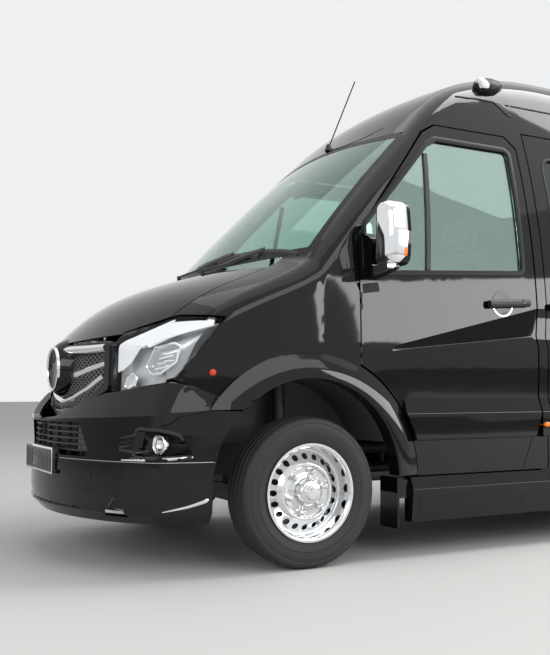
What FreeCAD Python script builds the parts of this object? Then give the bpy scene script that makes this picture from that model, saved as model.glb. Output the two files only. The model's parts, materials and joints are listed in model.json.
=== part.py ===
import FreeCAD, Part
import math
import os

# A high-roof minibus with twin rear wheels: steel van body in separate panels,
# hinged cab doors, rear doors and bonnet, steered front wheels and a seated saloon.
# Millimetres. X to the vehicle's left, Y to its rear, Z up. Shapes are drawn with Y = 0
# at the front axle, and moved at the end so that Y = 0 is the middle of the overall length.

V = FreeCAD.Vector

# Overall sizes
WHEELBASE = 4325.0
FRONT_OVERHANG = 1050.0
REAR_OVERHANG = 1610.0
LENGTH = FRONT_OVERHANG + WHEELBASE + REAR_OVERHANG
MID_Y = LENGTH / 2 - FRONT_OVERHANG
TAIL_Y = WHEELBASE + REAR_OVERHANG

# Body section: half width at the sill and at the waist, and the lean of the upper side
SILL_HALF = 950.0
WAIST_HALF = 965.0
WAIST_Z = 1000.0
WAIST_LOW_Z = 800.0
LEAN_Z = 1100.0
LEAN_R = 4100.0
HULL_BOTTOM = 150.0
NOSE_ARC_Y = -120.0
NOSE_ARC_R = 1207.0
NOSE_PINCH_END_Y = -900.0

# Walls, gaps and glass
WALL = 55.0
ROOF_WALL = 45.0
PANEL = 28.0
GLASS = 6.0
SHUT_GAP = 8.0
SEAT_GAP = 0.3
SEAM = 0.6

# Wheels
TYRE_R = 357.0
TYRE_W = 205.0
RIM_R = 222.0
AXLE_Z = TYRE_R
FRONT_WHEEL_X = 872.0
REAR_OUTER_X = 868.0
REAR_INNER_X = 630.0
KINGPIN_X = 790.0
RIM_HOLES = 20
RIM_HOLE_R = 14.5
HOLE_PITCH_R = 168.0
WHEEL_NUTS = 6
NUT_COVER_R = 15.5

# Cab door hinges
DOOR_AXIS_X = 962.0
DOOR_HINGE_Z = (1010.0, 1280.0)
HINGE_R = 4.5

# Wheel arches, seen from the side
ARCH_Z = 405.0
FRONT_ARCH_R = 492.0
FLARE_R = 620.0
REAR_ARCH_R = 470.0
REAR_FLARE_R = 590.0

# Heights along the side
SKIRT_Z = 180.0
LEDGE_LOW_Z = 350.0
DOOR_SILL_Z = 410.0
MOULD_LOW_Z = 585.0
MOULD_TOP_Z = 742.0
MOULD_ROOT_Z = 800.0
GUTTER_Z = 2500.0
ROOF_Z = 2790.0
DOOR_TOP_Z = 2285.0

# Panel joints along the side
BONNET_HALF = 712.0
BONNET_REAR_Y = -262.0
DOOR_FRONT_Y = 280.0
DOOR_REAR_Y = 1437.0
SLIDER_FRONT_Y = 1508.0
SLIDER_REAR_Y = 2790.0
SLIDER_TOP_Z = 2330.0
CAP_REAR_Y = 1480.0
DOOR_AXIS_Y = DOOR_FRONT_Y + SHUT_GAP + 2.5
BODY_REAR_Y = 5800.0
REAR_CORNER_Y = 5640.0
REAR_BUMPER_Z = 580.0
REAR_Y = BODY_REAR_Y + 60.0
REAR_DOOR_X = 850.0
REAR_AXIS_X = 862.0
REAR_AXIS_Y = REAR_Y + 12.0
REAR_HINGE_Z = (850.0, 1340.0, 1830.0)
REAR_SILL_Z = 612.0
REAR_HEAD_Z = 2600.0
WINDOW_LOW_Z = 1480.0
WINDOW_TOP_Z = 2180.0
SLIDER_WINDOW = (1625.0, 2680.0)
LEFT_WINDOWS = [(2900.0, 4180.0), (4290.0, 5570.0)]
RIGHT_WINDOWS = [(1625.0, 2780.0), (2900.0, 4180.0), (4290.0, 5570.0)]

# Character line: place along the side, ledge's lower and upper edge, its depth, top of the hollow above it
FEATURE_LINE = [(470.0, 1036.0, 1041.0, 0.4, 1060.0), (1441.0, 1084.0, 1137.0, 15.0, 1290.0),
                (5380.0, 1084.0, 1137.0, 15.0, 1290.0), (5650.0, 1104.0, 1109.0, 0.4, 1130.0)]

# Front bumper, upwards: height in the middle, half width, nose, and how many degrees it rises to the rear
BUMPER_LEVELS = [(236.0, 936.0, -990.0, 0.0), (285.0, 968.0, -1036.0, 0.0), (350.0, 976.0, -1048.0, 0.0),
                 (508.0, 976.0, -1046.0, 0.0), (640.0, 975.0, -1042.0, 0.0), (704.0, 984.0, -1040.0, 4.4),
                 (860.0, 956.0, -950.0, 2.0), (930.0, 950.0, -935.0, 0.0)]

# Inside and front end
FLOOR_Z = 760.0
BUMPER_WALL = 34.0
MIRROR_Y = 306.0
FLAP_Y = 502.0
# Wipers in plan: pivot, where the arm holds the blade, blade's ends
WIPERS = [((-170.0, -229.0), (305.0, -111.0), (-55.0, -165.0), (545.0, -75.0)),
          ((170.0, -229.0), (560.0, -51.0), (200.0, -150.0), (800.0, 15.0))]
SEAT_ROWS = [1750.0, 2500.0, 3250.0, 4000.0, 4850.0]

nodes = {}


# Outline and solid helpers

def rounded(points, radius=0.0):
    """A closed outline through 2D points; each is (a, b) or (a, b, its own corner radius)."""
    corners = []
    n = len(points)
    for i, point in enumerate(points):
        r = point[2] if len(point) > 2 else radius
        here = V(point[0], point[1], 0)
        before = V(points[i - 1][0], points[i - 1][1], 0)
        after = V(points[(i + 1) % n][0], points[(i + 1) % n][1], 0)
        to_before = (before - here).normalize()
        to_after = (after - here).normalize()
        half = to_before.getAngle(to_after) / 2
        if r <= 0 or abs(half - math.pi / 2) < 1e-3:
            corners.append((here, here, here))
            continue
        run = r / math.tan(half)
        middle = here + (to_before + to_after).normalize() * (r / math.sin(half) - r)
        corners.append((here + to_before * run, middle, here + to_after * run))
    edges = []
    for i, (start, middle, end) in enumerate(corners):
        if start.distanceToPoint(end) > 1e-6:
            edges.append(Part.Arc(start, middle, end).toShape())
        follow = corners[(i + 1) % n][0]
        if end.distanceToPoint(follow) > 1e-6:
            edges.append(Part.LineSegment(end, follow).toShape())
    return Part.Wire(edges)


def grown(wire, by):
    return wire.makeOffset2D(by) if by else wire


def turn_to(shape, plane):
    """Moves an XY outline to the side plane (Y, Z), the front plane (X, Z) or leaves it."""
    if plane == "side":
        m = FreeCAD.Matrix(0, 0, 1, 0, 1, 0, 0, 0, 0, 1, 0, 0, 0, 0, 0, 1)
    elif plane == "front":
        m = FreeCAD.Matrix(1, 0, 0, 0, 0, 0, -1, 0, 0, 1, 0, 0, 0, 0, 0, 1)
    else:
        m = FreeCAD.Matrix()
    return shape.transformShape(m, True)


def prism(wire, plane, low, high):
    """Extrudes an outline of the side, front or top plane from low to high across it."""
    face = turn_to(Part.Face(wire), plane)
    step = {"side": V(1, 0, 0), "front": V(0, 1, 0), "top": V(0, 0, 1)}[plane]
    face.translate(step * low)
    return face.extrude(step * (high - low))


def box(x0, x1, y0, y1, z0, z1):
    return Part.makeBox(x1 - x0, y1 - y0, z1 - z0, V(x0, y0, z0))


def rod(start, end, radius):
    axis = end - start
    return Part.makeCylinder(radius, axis.Length, start, axis)


def turned(profile, centre, axis=V(1, 0, 0)):
    """Revolves a closed outline of (x along the axle, radius) points about the X axis."""
    wire = rounded(profile)
    solid = Part.Face(wire).revolve(V(0, 0, 0), V(1, 0, 0), 360)
    solid.translate(centre)
    return solid


def mirrored(shape):
    return shape.mirror(V(0, 0, 0), V(1, 0, 0))


def solids_of(shape, least=1000.0):
    return [s for s in shape.Solids if s.Volume > least]


def one(shape):
    """The largest solid of a cut, without its slivers."""
    return max(shape.Solids, key=lambda s: s.Volume)


def joined(shapes):
    first, *rest = shapes
    return first.fuse(rest).removeSplitter() if rest else first


# Body skin, as sections from the nose to the tail

def side_x(z):
    """Half width of the body at height z, away from the nose."""
    if z < WAIST_Z:
        return SILL_HALF + (WAIST_HALF - SILL_HALF) * (z - HULL_BOTTOM) / (WAIST_Z - HULL_BOTTOM)
    if z < LEAN_Z:
        return WAIST_HALF
    return WAIST_HALF - LEAN_R + math.sqrt(LEAN_R ** 2 - (z - LEAN_Z) ** 2)


def nose_pinch(y):
    """How far the side has drawn in at y, ahead of the cab."""
    if y >= NOSE_ARC_Y:
        return 0.0
    y = max(y, NOSE_PINCH_END_Y)
    return NOSE_ARC_R - math.sqrt(NOSE_ARC_R ** 2 - (NOSE_ARC_Y - y) ** 2)


def skin_section(y, bow, top, crown, shoulder, inset=0.0, steep=1.0):
    """One closed section: y and top on the centre line, bow and crown per (x in metres) squared."""
    def place(x):
        return y + bow * (x / 1000.0) ** 2

    def roof(x):
        return top - inset * steep - crown * (x / 1000.0) ** 2

    def point(x, z):
        return V(x, place(x), z)

    def edge(z):
        x = side_x(z)
        for _ in range(6):
            x = side_x(z) - nose_pinch(place(x))
        return x - inset

    def flip(p):
        return V(-p.x, p.y, p.z)

    corner_x = 800.0
    for _ in range(12):
        corner_x = edge(roof(corner_x))
    corner = point(corner_x, roof(corner_x))
    start_z = corner.z - shoulder
    start = point(edge(start_z), start_z)
    end = point(corner_x - shoulder, roof(corner_x - shoulder))
    middle = corner + ((start + end) * 0.5 - corner) * 0.57
    waist = point(edge(WAIST_LOW_Z), WAIST_LOW_Z)
    mid_z = (start_z + waist.z) / 2
    mid = point(edge(mid_z), mid_z)
    sill = point(edge(HULL_BOTTOM), HULL_BOTTOM)
    if start_z > LEAN_Z:
        side = Part.Arc(waist, mid, start), Part.Arc(flip(start), flip(mid), flip(waist))
    else:
        side = Part.LineSegment(waist, start), Part.LineSegment(flip(start), flip(waist))

    edges = [
        Part.LineSegment(flip(sill), sill),
        Part.LineSegment(sill, waist),
        side[0],
        Part.Arc(start, middle, end),
        Part.Arc(end, point(0, roof(0)), flip(end)),
        Part.Arc(flip(end), flip(middle), flip(start)),
        side[1],
        Part.LineSegment(flip(waist), flip(sill)),
    ]
    return Part.Wire([e.toShape() for e in edges])


# y, bow, top, crown, shoulder radius, slope factor of the inner skin
AHEAD = [
    (-1500, 0, 985, 60, 60, 1.3),
    (-1100, 360, 985, 60, 60, 1.3),
]
NOSE = [
    (-1100, 360, 985, 60, 60, 1.3),
    (-940, 360, 1068, 55, 62, 1.3),
    (-760, 345, 1232, 60, 66, 1.3),
    (-480, 318, 1385, 50, 72, 1.15),
    (-190, 290, 1490, 10, 80, 1.1),
]
SCREEN = [
    (-190, 290, 1490, 10, 80, 1.1),
    (75, 255, 1764, 12, 75, 1.42),
    (345, 215, 2020, 14, 72, 1.4),
    (615, 170, 2255, 16, 75, 1.3),
]
CAP = [
    (615, 170, 2255, 16, 75, 1.3),
    (900, 120, 2500, 40, 95, 1.25),
    (1180, 70, 2655, 70, 130, 1.1),
    (1480, 10, 2748, 90, 165, 1.05),
    (1650, 3, 2777, 94, 175, 1.0),
    (1820, 0, ROOF_Z, 95, 180, 1.0),
]
ROOF = [
    (1820, 0, ROOF_Z, 95, 180, 1.0),
    (6200, 0, ROOF_Z, 95, 180, 1.0),
]


def hull(inset=0.0):
    """The closed body, drawn inset mm inside the outer skin."""
    faces = []
    for group in (AHEAD, NOSE, SCREEN, CAP, ROOF):
        wires = [skin_section(*row[:5], inset=inset, steep=row[5]) for row in group]
        faces += Part.makeLoft(wires, False, False).Faces
    for row in (AHEAD[0], ROOF[-1]):
        faces.append(Part.Face(skin_section(*row[:5], inset=inset, steep=row[5])))
    shell = Part.makeShell(faces)
    shell.sewShape()
    body = Part.Solid(shell)
    if body.Volume < 0:
        body.reverse()
    return body.common(front_limit(inset)).common(rear_limit(inset))


def front_limit(inset=0.0):
    """Everything behind the front face, which bows in plan and leans back at its ends."""
    wires = []
    for x in (-1200, -600, 0, 600, 1200):
        bow = 0.37 * x * x / 1000 + inset
        low, face, lead = V(x, -932 + bow, 100), V(x, -952 + bow, 600), V(x, -932 + bow, 1100)
        top, back, under = V(x, -800 + bow, 3000), V(x, 6400, 3000), V(x, 6400, 100)
        wires.append(Part.Wire([
            Part.Arc(low, face, lead).toShape(),
            Part.LineSegment(lead, top).toShape(),
            Part.LineSegment(top, back).toShape(),
            Part.LineSegment(back, under).toShape(),
            Part.LineSegment(under, low).toShape(),
        ]))
    return Part.makeLoft(wires, True, False)


def rear_limit(inset=0.0):
    """Everything ahead of the rear face, with rounded rear corners."""
    half, back = 1100.0, BODY_REAR_Y + 60.0 - inset
    post = 900.0 - inset * 0.6
    corner = [(-half, -3000), (-half, back - 238), (-post, back - 8, 110), (-780, back),
              (780, back), (post, back - 8, 110), (half, back - 238), (half, -3000)]
    return prism(rounded(corner), "top", -100, 3200)


# Panel outlines, in the side plane as (y, z) and the front plane as (x, z)

def door_outline(edge):
    """The cab door's outline, drawn edge mm outside the door."""
    reach = FLARE_R + SHUT_GAP + 1 - edge
    front = DOOR_FRONT_Y + SHUT_GAP - edge
    low = DOOR_SILL_Z - edge
    kink_z = ARCH_Z + math.sqrt(reach ** 2 - front ** 2)
    foot_y = math.sqrt(reach ** 2 - (low - ARCH_Z) ** 2)
    mid_a = (math.atan2(kink_z - ARCH_Z, front) + math.atan2(low - ARCH_Z, foot_y)) / 2
    mid = V(reach * math.cos(mid_a), ARCH_Z + reach * math.sin(mid_a), 0)
    path = [V(foot_y, low, 0), V(DOOR_REAR_Y - 110, low, 0), V(DOOR_REAR_Y + edge, 700, 0),
            V(DOOR_REAR_Y + edge, DOOR_TOP_Z + edge - 70, 0), V(DOOR_REAR_Y + edge - 70, DOOR_TOP_Z + edge, 0),
            V(875 - edge, DOOR_TOP_Z + edge, 0), V(780 - edge, DOOR_TOP_Z + edge - 55, 0),
            V(front, 1625 + edge * 0.3, 0), V(front, kink_z, 0)]
    edges = [Part.LineSegment(a, b).toShape() for a, b in zip(path, path[1:])]
    edges.append(Part.Arc(path[-1], mid, path[0]).toShape())
    return Part.Wire(edges)


def door_window(edge):
    points = [(330, 1432), (1352, 1492), (1368, 2195), (860, 2195), (800, 2160), (338, 1668)]
    return grown(rounded(points, 38), edge)


def lamp_outline(edge):
    points = [(-960, 815), (-837, 831), (-640, 900, 60), (-430, 1165, 12), (-590, 1184, 80), (-790, 1104), (-960, 1085)]
    return grown(rounded(points), edge)


def wing_outline():
    points = [(-300, 748), (-640, 888), (-418, 1180), (-580, 1194), (-790, 1112), (-960, 1092), (-960, 1330),
              (100, 1640), (140, 1496), (262, 1372), (DOOR_FRONT_Y, 1330), (DOOR_FRONT_Y, 745)]
    return rounded(points)


def bonnet_outline(edge):
    """Plan of the bonnet: straight sides and a rear edge that follows the windscreen."""
    half = BONNET_HALF + edge
    rear = BONNET_REAR_Y + edge
    bend = 0.29 * half * half / 1000
    return Part.Wire([
        Part.LineSegment(V(-half, -1300, 0), V(half, -1300, 0)).toShape(),
        Part.LineSegment(V(half, -1300, 0), V(half, rear + bend, 0)).toShape(),
        Part.Arc(V(half, rear + bend, 0), V(0, rear, 0), V(-half, rear + bend, 0)).toShape(),
        Part.LineSegment(V(-half, rear + bend, 0), V(-half, -1300, 0)).toShape(),
    ])


def cowl_outline(edge):
    """Plan of the cowl strip, from the bonnet's rear edge to the windscreen's foot."""
    half = BONNET_HALF + SHUT_GAP - SEAM + edge
    front, rear = BONNET_REAR_Y + SHUT_GAP - edge, -60.0
    bend = 0.29 * half * half / 1000
    return Part.Wire([
        Part.Arc(V(-half, front + bend, 0), V(0, front, 0), V(half, front + bend, 0)).toShape(),
        Part.LineSegment(V(half, front + bend, 0), V(half, rear + bend, 0)).toShape(),
        Part.Arc(V(half, rear + bend, 0), V(0, rear, 0), V(-half, rear + bend, 0)).toShape(),
        Part.LineSegment(V(-half, rear + bend, 0), V(-half, front + bend, 0)).toShape(),
    ])


def screen_outline(edge):
    """Front view of the windscreen's glass."""
    points = [(-868, 1516, 40), (0, 1478, 6000), (868, 1516, 40), (772, 2236, 60), (0, 2282, 6000), (-772, 2236, 60)]
    return grown(rounded(points), edge)


def cap_outline():
    """Side view of what the roof cap covers: above the windscreen's head and the rail."""
    points = [(560, 2262), (700, 2240), (770, 2240), (948, 2395, 200), (1171, GUTTER_Z + 10, 200),
              (CAP_REAR_Y, GUTTER_Z + 10), (CAP_REAR_Y, 3000), (560, 3000)]
    return rounded(points)


def grille_outline(edge):
    points = [(-505, 1076, 25), (0, 1060, 6000), (505, 1076, 25), (520, 845, 40), (235, 722, 120), (0, 706, 900),
              (-235, 722, 120), (-520, 845, 40)]
    return grown(rounded(points), edge)


def rear_outline(edge, half=False):
    """Front view of both rear doors, or of the left one alone."""
    right = [(REAR_DOOR_X, REAR_SILL_Z), (REAR_DOOR_X, 1650), (772, 2200), (690, 2450, 60), (575, REAR_HEAD_Z, 60)]
    if half:
        return rounded([(SHUT_GAP / 2, REAR_SILL_Z)] + right + [(SHUT_GAP / 2, REAR_HEAD_Z)])
    return grown(rounded(right + [(-p[0], *p[1:]) for p in reversed(right)]), edge)


def band(y0, y1, z0, z1, x0=-1300.0, x1=1300.0):
    return box(x0, x1, y0, y1, z0, z1)


def arch_hole(y, radius, x0=480.0, x1=1300.0):
    """The round wheel opening, square below the arch's centre."""
    tube = Part.makeCylinder(radius, x1 - x0, V(x0, y, ARCH_Z), V(1, 0, 0))
    return tube.fuse(box(x0, x1, y - radius, y + radius, -50, ARCH_Z))


def flare(y, opening, outer, reach, low_front, low_rear):
    """The raised lip round a wheel opening, on the left."""
    profile = [(900, opening), (reach - 6, opening), (reach, opening + 8), (reach, opening + 52),
               (962, outer), (900, outer)]
    ring = Part.Face(rounded(profile)).revolve(V(0, 0, 0), V(1, 0, 0), 360)
    ring.translate(V(0, y, ARCH_Z))
    keep = box(880, 1100, y - outer - 10, y, low_front, 1300).fuse(box(880, 1100, y, y + outer + 10, low_rear, 1300))
    return ring.common(keep)


def moulding(y0, y1):
    """The side rubbing moulding, on the left."""
    points = [(920, MOULD_ROOT_Z), (963, MOULD_ROOT_Z), (983, MOULD_TOP_Z), (991, MOULD_TOP_Z - 20, 12),
              (991, MOULD_LOW_Z, 10), (920, MOULD_LOW_Z)]
    return prism(rounded(points), "front", y0, y1)


# The body's skins

outer = hull(0)
inner_panel = hull(PANEL)
inner_wall = hull(WALL)
skin_panel = outer.cut(inner_panel)
skin_wall = outer.cut(inner_wall)
skin_roof = outer.cut(hull(ROOF_WALL))
skin_glass = hull(2.0).cut(hull(2.0 + GLASS))
side_glass = hull(14.0).cut(hull(14.0 + GLASS))

door_cut = prism(door_outline(SHUT_GAP), "side", 300, 1300)
door_cut_both = door_cut.fuse(mirrored(door_cut))
screen_cut = prism(screen_outline(SEAM), "front", -500, 900)
cap_region = prism(cap_outline(), "side", -1300, 1300)
cap_gap = prism(grown(cap_outline(), SEAM), "side", -1300, 1300)
wing_region = prism(wing_outline(), "side", 300, 1300)
wing_gap = prism(grown(wing_outline(), SEAM), "side", 300, 1300)
bonnet_gap = prism(bonnet_outline(SHUT_GAP), "top", 700, 3000)
lamp_gap = prism(lamp_outline(SEAM), "side", 540 - SEAM, 1300)
front_hole = arch_hole(0, FRONT_ARCH_R)
rear_hole = arch_hole(WHEELBASE, REAR_ARCH_R)


# Front wings, bonnet and cowl

cowl_gap = prism(cowl_outline(SEAM), "top", 1200, 1600)
wing = skin_panel.common(wing_region)
for cutter in (bonnet_gap, lamp_gap, cowl_gap, screen_cut, box(300, BONNET_HALF, -400, 300, 1100, 2000)):
    wing = wing.cut(cutter)
wing = one(wing)
lip = flare(0, FRONT_ARCH_R, FLARE_R, 992, 752, DOOR_SILL_Z + 6)
wing = joined([wing.cut(arch_hole(0, FLARE_R - 8)), lip])
nodes["wing_left"] = wing
nodes["wing_right"] = mirrored(wing)

bonnet_front = rounded([(-1300, 1118), (-712, 1118), (0, 1070, 4000), (712, 1118), (1300, 1118), (1300, 3000), (-1300, 3000)])
bonnet_blank = prism(bonnet_outline(0), "top", 1000, 3000).common(prism(bonnet_front, "front", -1300, 600))
lamp_clear = prism(lamp_outline(SHUT_GAP), "side", 533, 1300)
bonnet = one(skin_panel.common(bonnet_blank).cut(lamp_clear).cut(mirrored(lamp_clear)))
BONNET_AXIS_Y = BONNET_REAR_Y + 0.29 * BONNET_HALF ** 2 / 1000 + 3
BONNET_AXIS_Z = 1466.0
NECK_X = 300.0
NECK_R = 145.0


def bonnet_neck(x, width, grow=0.0):
    """The curved hinge arm that reaches from the bonnet round the cowl's edge to the hinge axis."""
    def polar(radius, degrees):
        a = math.radians(degrees)
        return V(BONNET_AXIS_Y - radius * math.cos(a), BONNET_AXIS_Z - radius * math.sin(a), 0)
    low, high = NECK_R - grow, NECK_R + 16 + grow
    start, end = 100.0, 8.0
    edges = [
        Part.Arc(polar(high, start), polar(high, (start + end) / 2), polar(high, end)).toShape(),
        Part.LineSegment(polar(high, end), polar(low, end)).toShape(),
        Part.Arc(polar(low, end), polar(low, (start + end) / 2), polar(low, start)).toShape(),
        Part.LineSegment(polar(low, start), polar(high, start)).toShape(),
    ]
    arc = prism(Part.Wire(edges), "side", x - width / 2, x + width / 2)
    leg = box(x - width / 2, x + width / 2, BONNET_AXIS_Y - 9 - grow, BONNET_AXIS_Y + 9 + grow,
              BONNET_AXIS_Z - NECK_R - 8, BONNET_AXIS_Z)
    barrel = Part.makeCylinder(11 + grow, width, V(x - width / 2, BONNET_AXIS_Y, BONNET_AXIS_Z), V(1, 0, 0))
    return joined([arc, leg, barrel])


inside_skin = hull(4.0)
necks = [bonnet_neck(s * NECK_X, 14).common(inside_skin) for s in (-1, 1)]
nodes["bonnet"] = one(joined([bonnet] + necks))

cowl = skin_panel.common(prism(cowl_outline(0), "top", 1200, 1600)).cut(wing_gap).cut(mirrored(wing_gap)).cut(screen_cut)
lugs = [box(s * NECK_X + x0, s * NECK_X + x0 + 8, BONNET_AXIS_Y - 14, BONNET_AXIS_Y + 14, BONNET_AXIS_Z - 14, 1620)
        .common(hull(PANEL / 2))
        for s in (-1, 1) for x0 in (-20, 12)]
blade_skin, arm_skin = hull(-12).cut(hull(1.7)), hull(-20).cut(hull(-8))
wipers = []
for pivot, elbow, start, tip in WIPERS:
    for skin, (x0, y0), (x1, y1), half in ((blade_skin, start, tip, 6), (arm_skin, pivot, elbow, 8)):
        strip = rounded([(x0, y0 - half), (x1, y1 - half), (x1, y1 + half), (x0, y0 + half)])
        wipers.append(skin.common(prism(strip, "top", 1300, 1800)))
    wipers.append(Part.makeCylinder(11, 34, V(*pivot, 1457)))
nodes["cowl"] = one(joined([one(cowl)] + lugs + wipers).cut(nodes["wing_left"]))

# Windscreen and its pillars, the rails over the cab doors, and the roof cap

nodes["windscreen"] = one(skin_glass.common(prism(screen_outline(0), "front", -400, 850)))
frame_side = rounded([(-200, 1400), (160, 1380), (270, 1368), (DOOR_REAR_Y + SHUT_GAP + 2, 1800), (DOOR_REAR_Y + SHUT_GAP + 2, 2600), (400, 2600), (-200, 1700)])
cab_frame = skin_wall.common(prism(frame_side, "side", -1300, 1300))
for cutter in (door_cut_both, screen_cut, cap_gap, wing_gap, mirrored(wing_gap), cowl_gap, bonnet_gap):
    cab_frame = cab_frame.cut(cutter)
nodes["cab_frame"] = Part.makeCompound(solids_of(cab_frame, 1000000))

cap = skin_roof.common(cap_region).cut(screen_cut)
nodes["roof_cap"] = one(cap)
roof_region = band(CAP_REAR_Y + SEAM, 5900, GUTTER_Z + SEAM, 3000)
rear_door_gap = prism(rear_outline(SHUT_GAP), "front", 5700, 5900)
roof = skin_roof.common(roof_region).cut(rear_door_gap)
nodes["roof_panel"] = one(roof)


# Body sides

def feature_line():
    """Cuts the ledge that starts on the cab door and runs to the tail, deepest at its upper edge."""
    wires = []
    for y, low, ledge, deep, high in FEATURE_LINE:
        points = [(side_x(low) + 0.2, low), (side_x(ledge) - deep, ledge), (side_x(high) + 0.2, high), (1100, high),
                  (1100, low)]
        wires.append(Part.makePolygon([V(x, y, z) for x, z in points + points[:1]]))
    return Part.makeLoft(wires, True, True)


def side_window(y0, y1, edge=0.0):
    points = [(y0, WINDOW_LOW_Z), (y1, WINDOW_LOW_Z), (y1, WINDOW_TOP_Z), (y0, WINDOW_TOP_Z)]
    return prism(grown(rounded(points, 70), edge), "side", 300, 1300)


def body_side(windows, slider):
    region = band(DOOR_REAR_Y + SHUT_GAP + 2.5, 5900, DOOR_SILL_Z, GUTTER_Z, 300)
    region = region.fuse(band(1310, DOOR_REAR_Y + 50, DOOR_SILL_Z, 690, 300)).removeSplitter()
    region = region.cut(door_cut).cut(band(REAR_CORNER_Y - SEAM, 5900, 300, REAR_BUMPER_Z + SEAM))
    side = skin_wall.common(region).cut(rear_door_gap)
    side = side.fuse(moulding(DOOR_REAR_Y + SHUT_GAP + 2.5, BODY_REAR_Y - 130).cut(door_cut)).removeSplitter()
    side = side.cut(arch_hole(WHEELBASE, REAR_ARCH_R + 30)).cut(feature_line())
    side = side.fuse(flare(WHEELBASE, REAR_ARCH_R, REAR_FLARE_R, 994, DOOR_SILL_Z, DOOR_SILL_Z)).removeSplitter()
    for y0, y1 in windows:
        side = side.cut(side_window(y0, y1))
    if slider:
        side = side.cut(band(SLIDER_FRONT_Y, SLIDER_REAR_Y, 300, SLIDER_TOP_Z, 300))
    return Part.makeCompound(solids_of(side, 50000))


def slider_door():
    region = band(SLIDER_FRONT_Y + SHUT_GAP, SLIDER_REAR_Y - SHUT_GAP, DOOR_SILL_Z, SLIDER_TOP_Z - SHUT_GAP, 300)
    door = skin_wall.common(region).fuse(moulding(SLIDER_FRONT_Y + SHUT_GAP, SLIDER_REAR_Y - SHUT_GAP))
    return one(door.removeSplitter().cut(side_window(*SLIDER_WINDOW)).cut(feature_line()))


left_panes = [LEFT_WINDOWS[0], LEFT_WINDOWS[1]]
nodes["body_side_left"] = body_side(left_panes, True)
nodes["body_side_right"] = mirrored(body_side(RIGHT_WINDOWS, False))
nodes["sliding_door"] = slider_door()


def panes(spans):
    return [one(side_glass.common(side_window(y0, y1, -0.5))) for y0, y1 in spans]


left_glass = panes(left_panes + [SLIDER_WINDOW])
right_glass = [mirrored(pane) for pane in panes(RIGHT_WINDOWS)]
nodes["saloon_glass"] = Part.makeCompound(left_glass + right_glass)

# Skirts below the doors and sides
skirt_profile = [(905, SKIRT_Z), (966, SKIRT_Z, 6), (984, LEDGE_LOW_Z - 8, 6), (957, DOOR_SILL_Z - SEAT_GAP),
                 (905, DOOR_SILL_Z - SEAT_GAP)]
skirt = prism(rounded(skirt_profile), "front", 300, REAR_CORNER_Y - SEAM)
skirt = skirt.cut(arch_hole(0, FLARE_R - 40, 300)).cut(arch_hole(WHEELBASE, REAR_FLARE_R - 20))
skirt = skirt.cut(band(300, DOOR_REAR_Y + 20, DOOR_SILL_Z - SHUT_GAP, 450, 800))
skirts = sorted(solids_of(skirt), key=lambda s: s.BoundBox.YMin)
flap = box(800, 955, FLAP_Y, FLAP_Y + 12, 150, DOOR_SILL_Z - SHUT_GAP)
skirts[0] = joined([skirts[0], flap, box(912, 950, FLAP_Y + 6, FLARE_R, 300, 390)])
nodes["side_skirts"] = Part.makeCompound(skirts + [mirrored(s) for s in skirts])


# Cab doors with their glass and mirrors

door_skin = skin_panel.common(prism(door_outline(0), "side", 300, 1300))
door_core = skin_wall.common(prism(door_outline(-16), "side", 300, 1300))
door = door_skin.fuse(door_core).removeSplitter()
door = door.fuse(moulding(FLARE_R - 80, DOOR_REAR_Y).common(prism(door_outline(0), "side", 300, 1300))).removeSplitter()
door = one(door.cut(prism(door_window(0), "side", 300, 1300)))
hinge_parts = []
for z in DOOR_HINGE_Z:
    for z0 in (z - 42, z + 14 + SEAT_GAP):
        door = door.cut(Part.makeCylinder(HINGE_R + 3, 28, V(DOOR_AXIS_X, DOOR_AXIS_Y, z0)))
        pin = Part.makeCylinder(HINGE_R, 28, V(DOOR_AXIS_X, DOOR_AXIS_Y, z0))
        leaf = box(922, DOOR_AXIS_X, DOOR_AXIS_Y - HINGE_R - 3.5, DOOR_AXIS_Y - HINGE_R + 1, z0, z0 + 28)
        arm = box(880, 922, 262, DOOR_AXIS_Y - HINGE_R + 1, z0, z0 + 28)
        hinge_parts.append(joined([pin, leaf, arm]))
    knuckle_bar = Part.makeCylinder(HINGE_R, 28 - 2 * SEAT_GAP + SEAT_GAP, V(DOOR_AXIS_X, DOOR_AXIS_Y, z - 14 + SEAT_GAP))
    door = door.fuse(knuckle_bar).removeSplitter()
door = one(door.cut(feature_line()))
nodes["door_hinges"] = Part.makeCompound(hinge_parts + [mirrored(h) for h in hinge_parts])
nodes["cab_door_left"] = door
nodes["cab_door_right"] = mirrored(door)
door_glass = one(side_glass.common(prism(door_window(-0.5), "side", 300, 1300)))
nodes["door_glass_left"] = door_glass
nodes["door_glass_right"] = mirrored(door_glass)

mirror_shape = rounded([(1036, 1440, 30), (1190, 1446, 50), (1202, 1600, 300), (1184, 1756, 75), (1046, 1762, 50)])
mirror_head = prism(mirror_shape, "front", MIRROR_Y, MIRROR_Y + 118)
mirror_head = mirror_head.makeFillet(45, [e for e in mirror_head.Edges if e.BoundBox.YMax < MIRROR_Y + 1])
mirror_recess = prism(grown(mirror_shape, -9), "front", MIRROR_Y + 108, MIRROR_Y + 130)
mirror_head = mirror_head.cut(mirror_recess)
mirror_foot = prism(rounded([(900, 1376), (985, 1392, 20), (1160, 1424, 8), (1160, 1446, 6), (1020, 1446, 20), (1012, 1590, 20),
                             (900, 1640)]), "front", MIRROR_Y + 6, MIRROR_Y + 74)
mirror_foot = mirror_foot.cut(outer.common(band(250, 500, 1300, 1700, 300)))
mirror = joined([mirror_head, one(mirror_foot)])
nodes["mirror_left"] = mirror
nodes["mirror_right"] = mirrored(mirror)


# Rear doors, lamps and bumper

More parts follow.
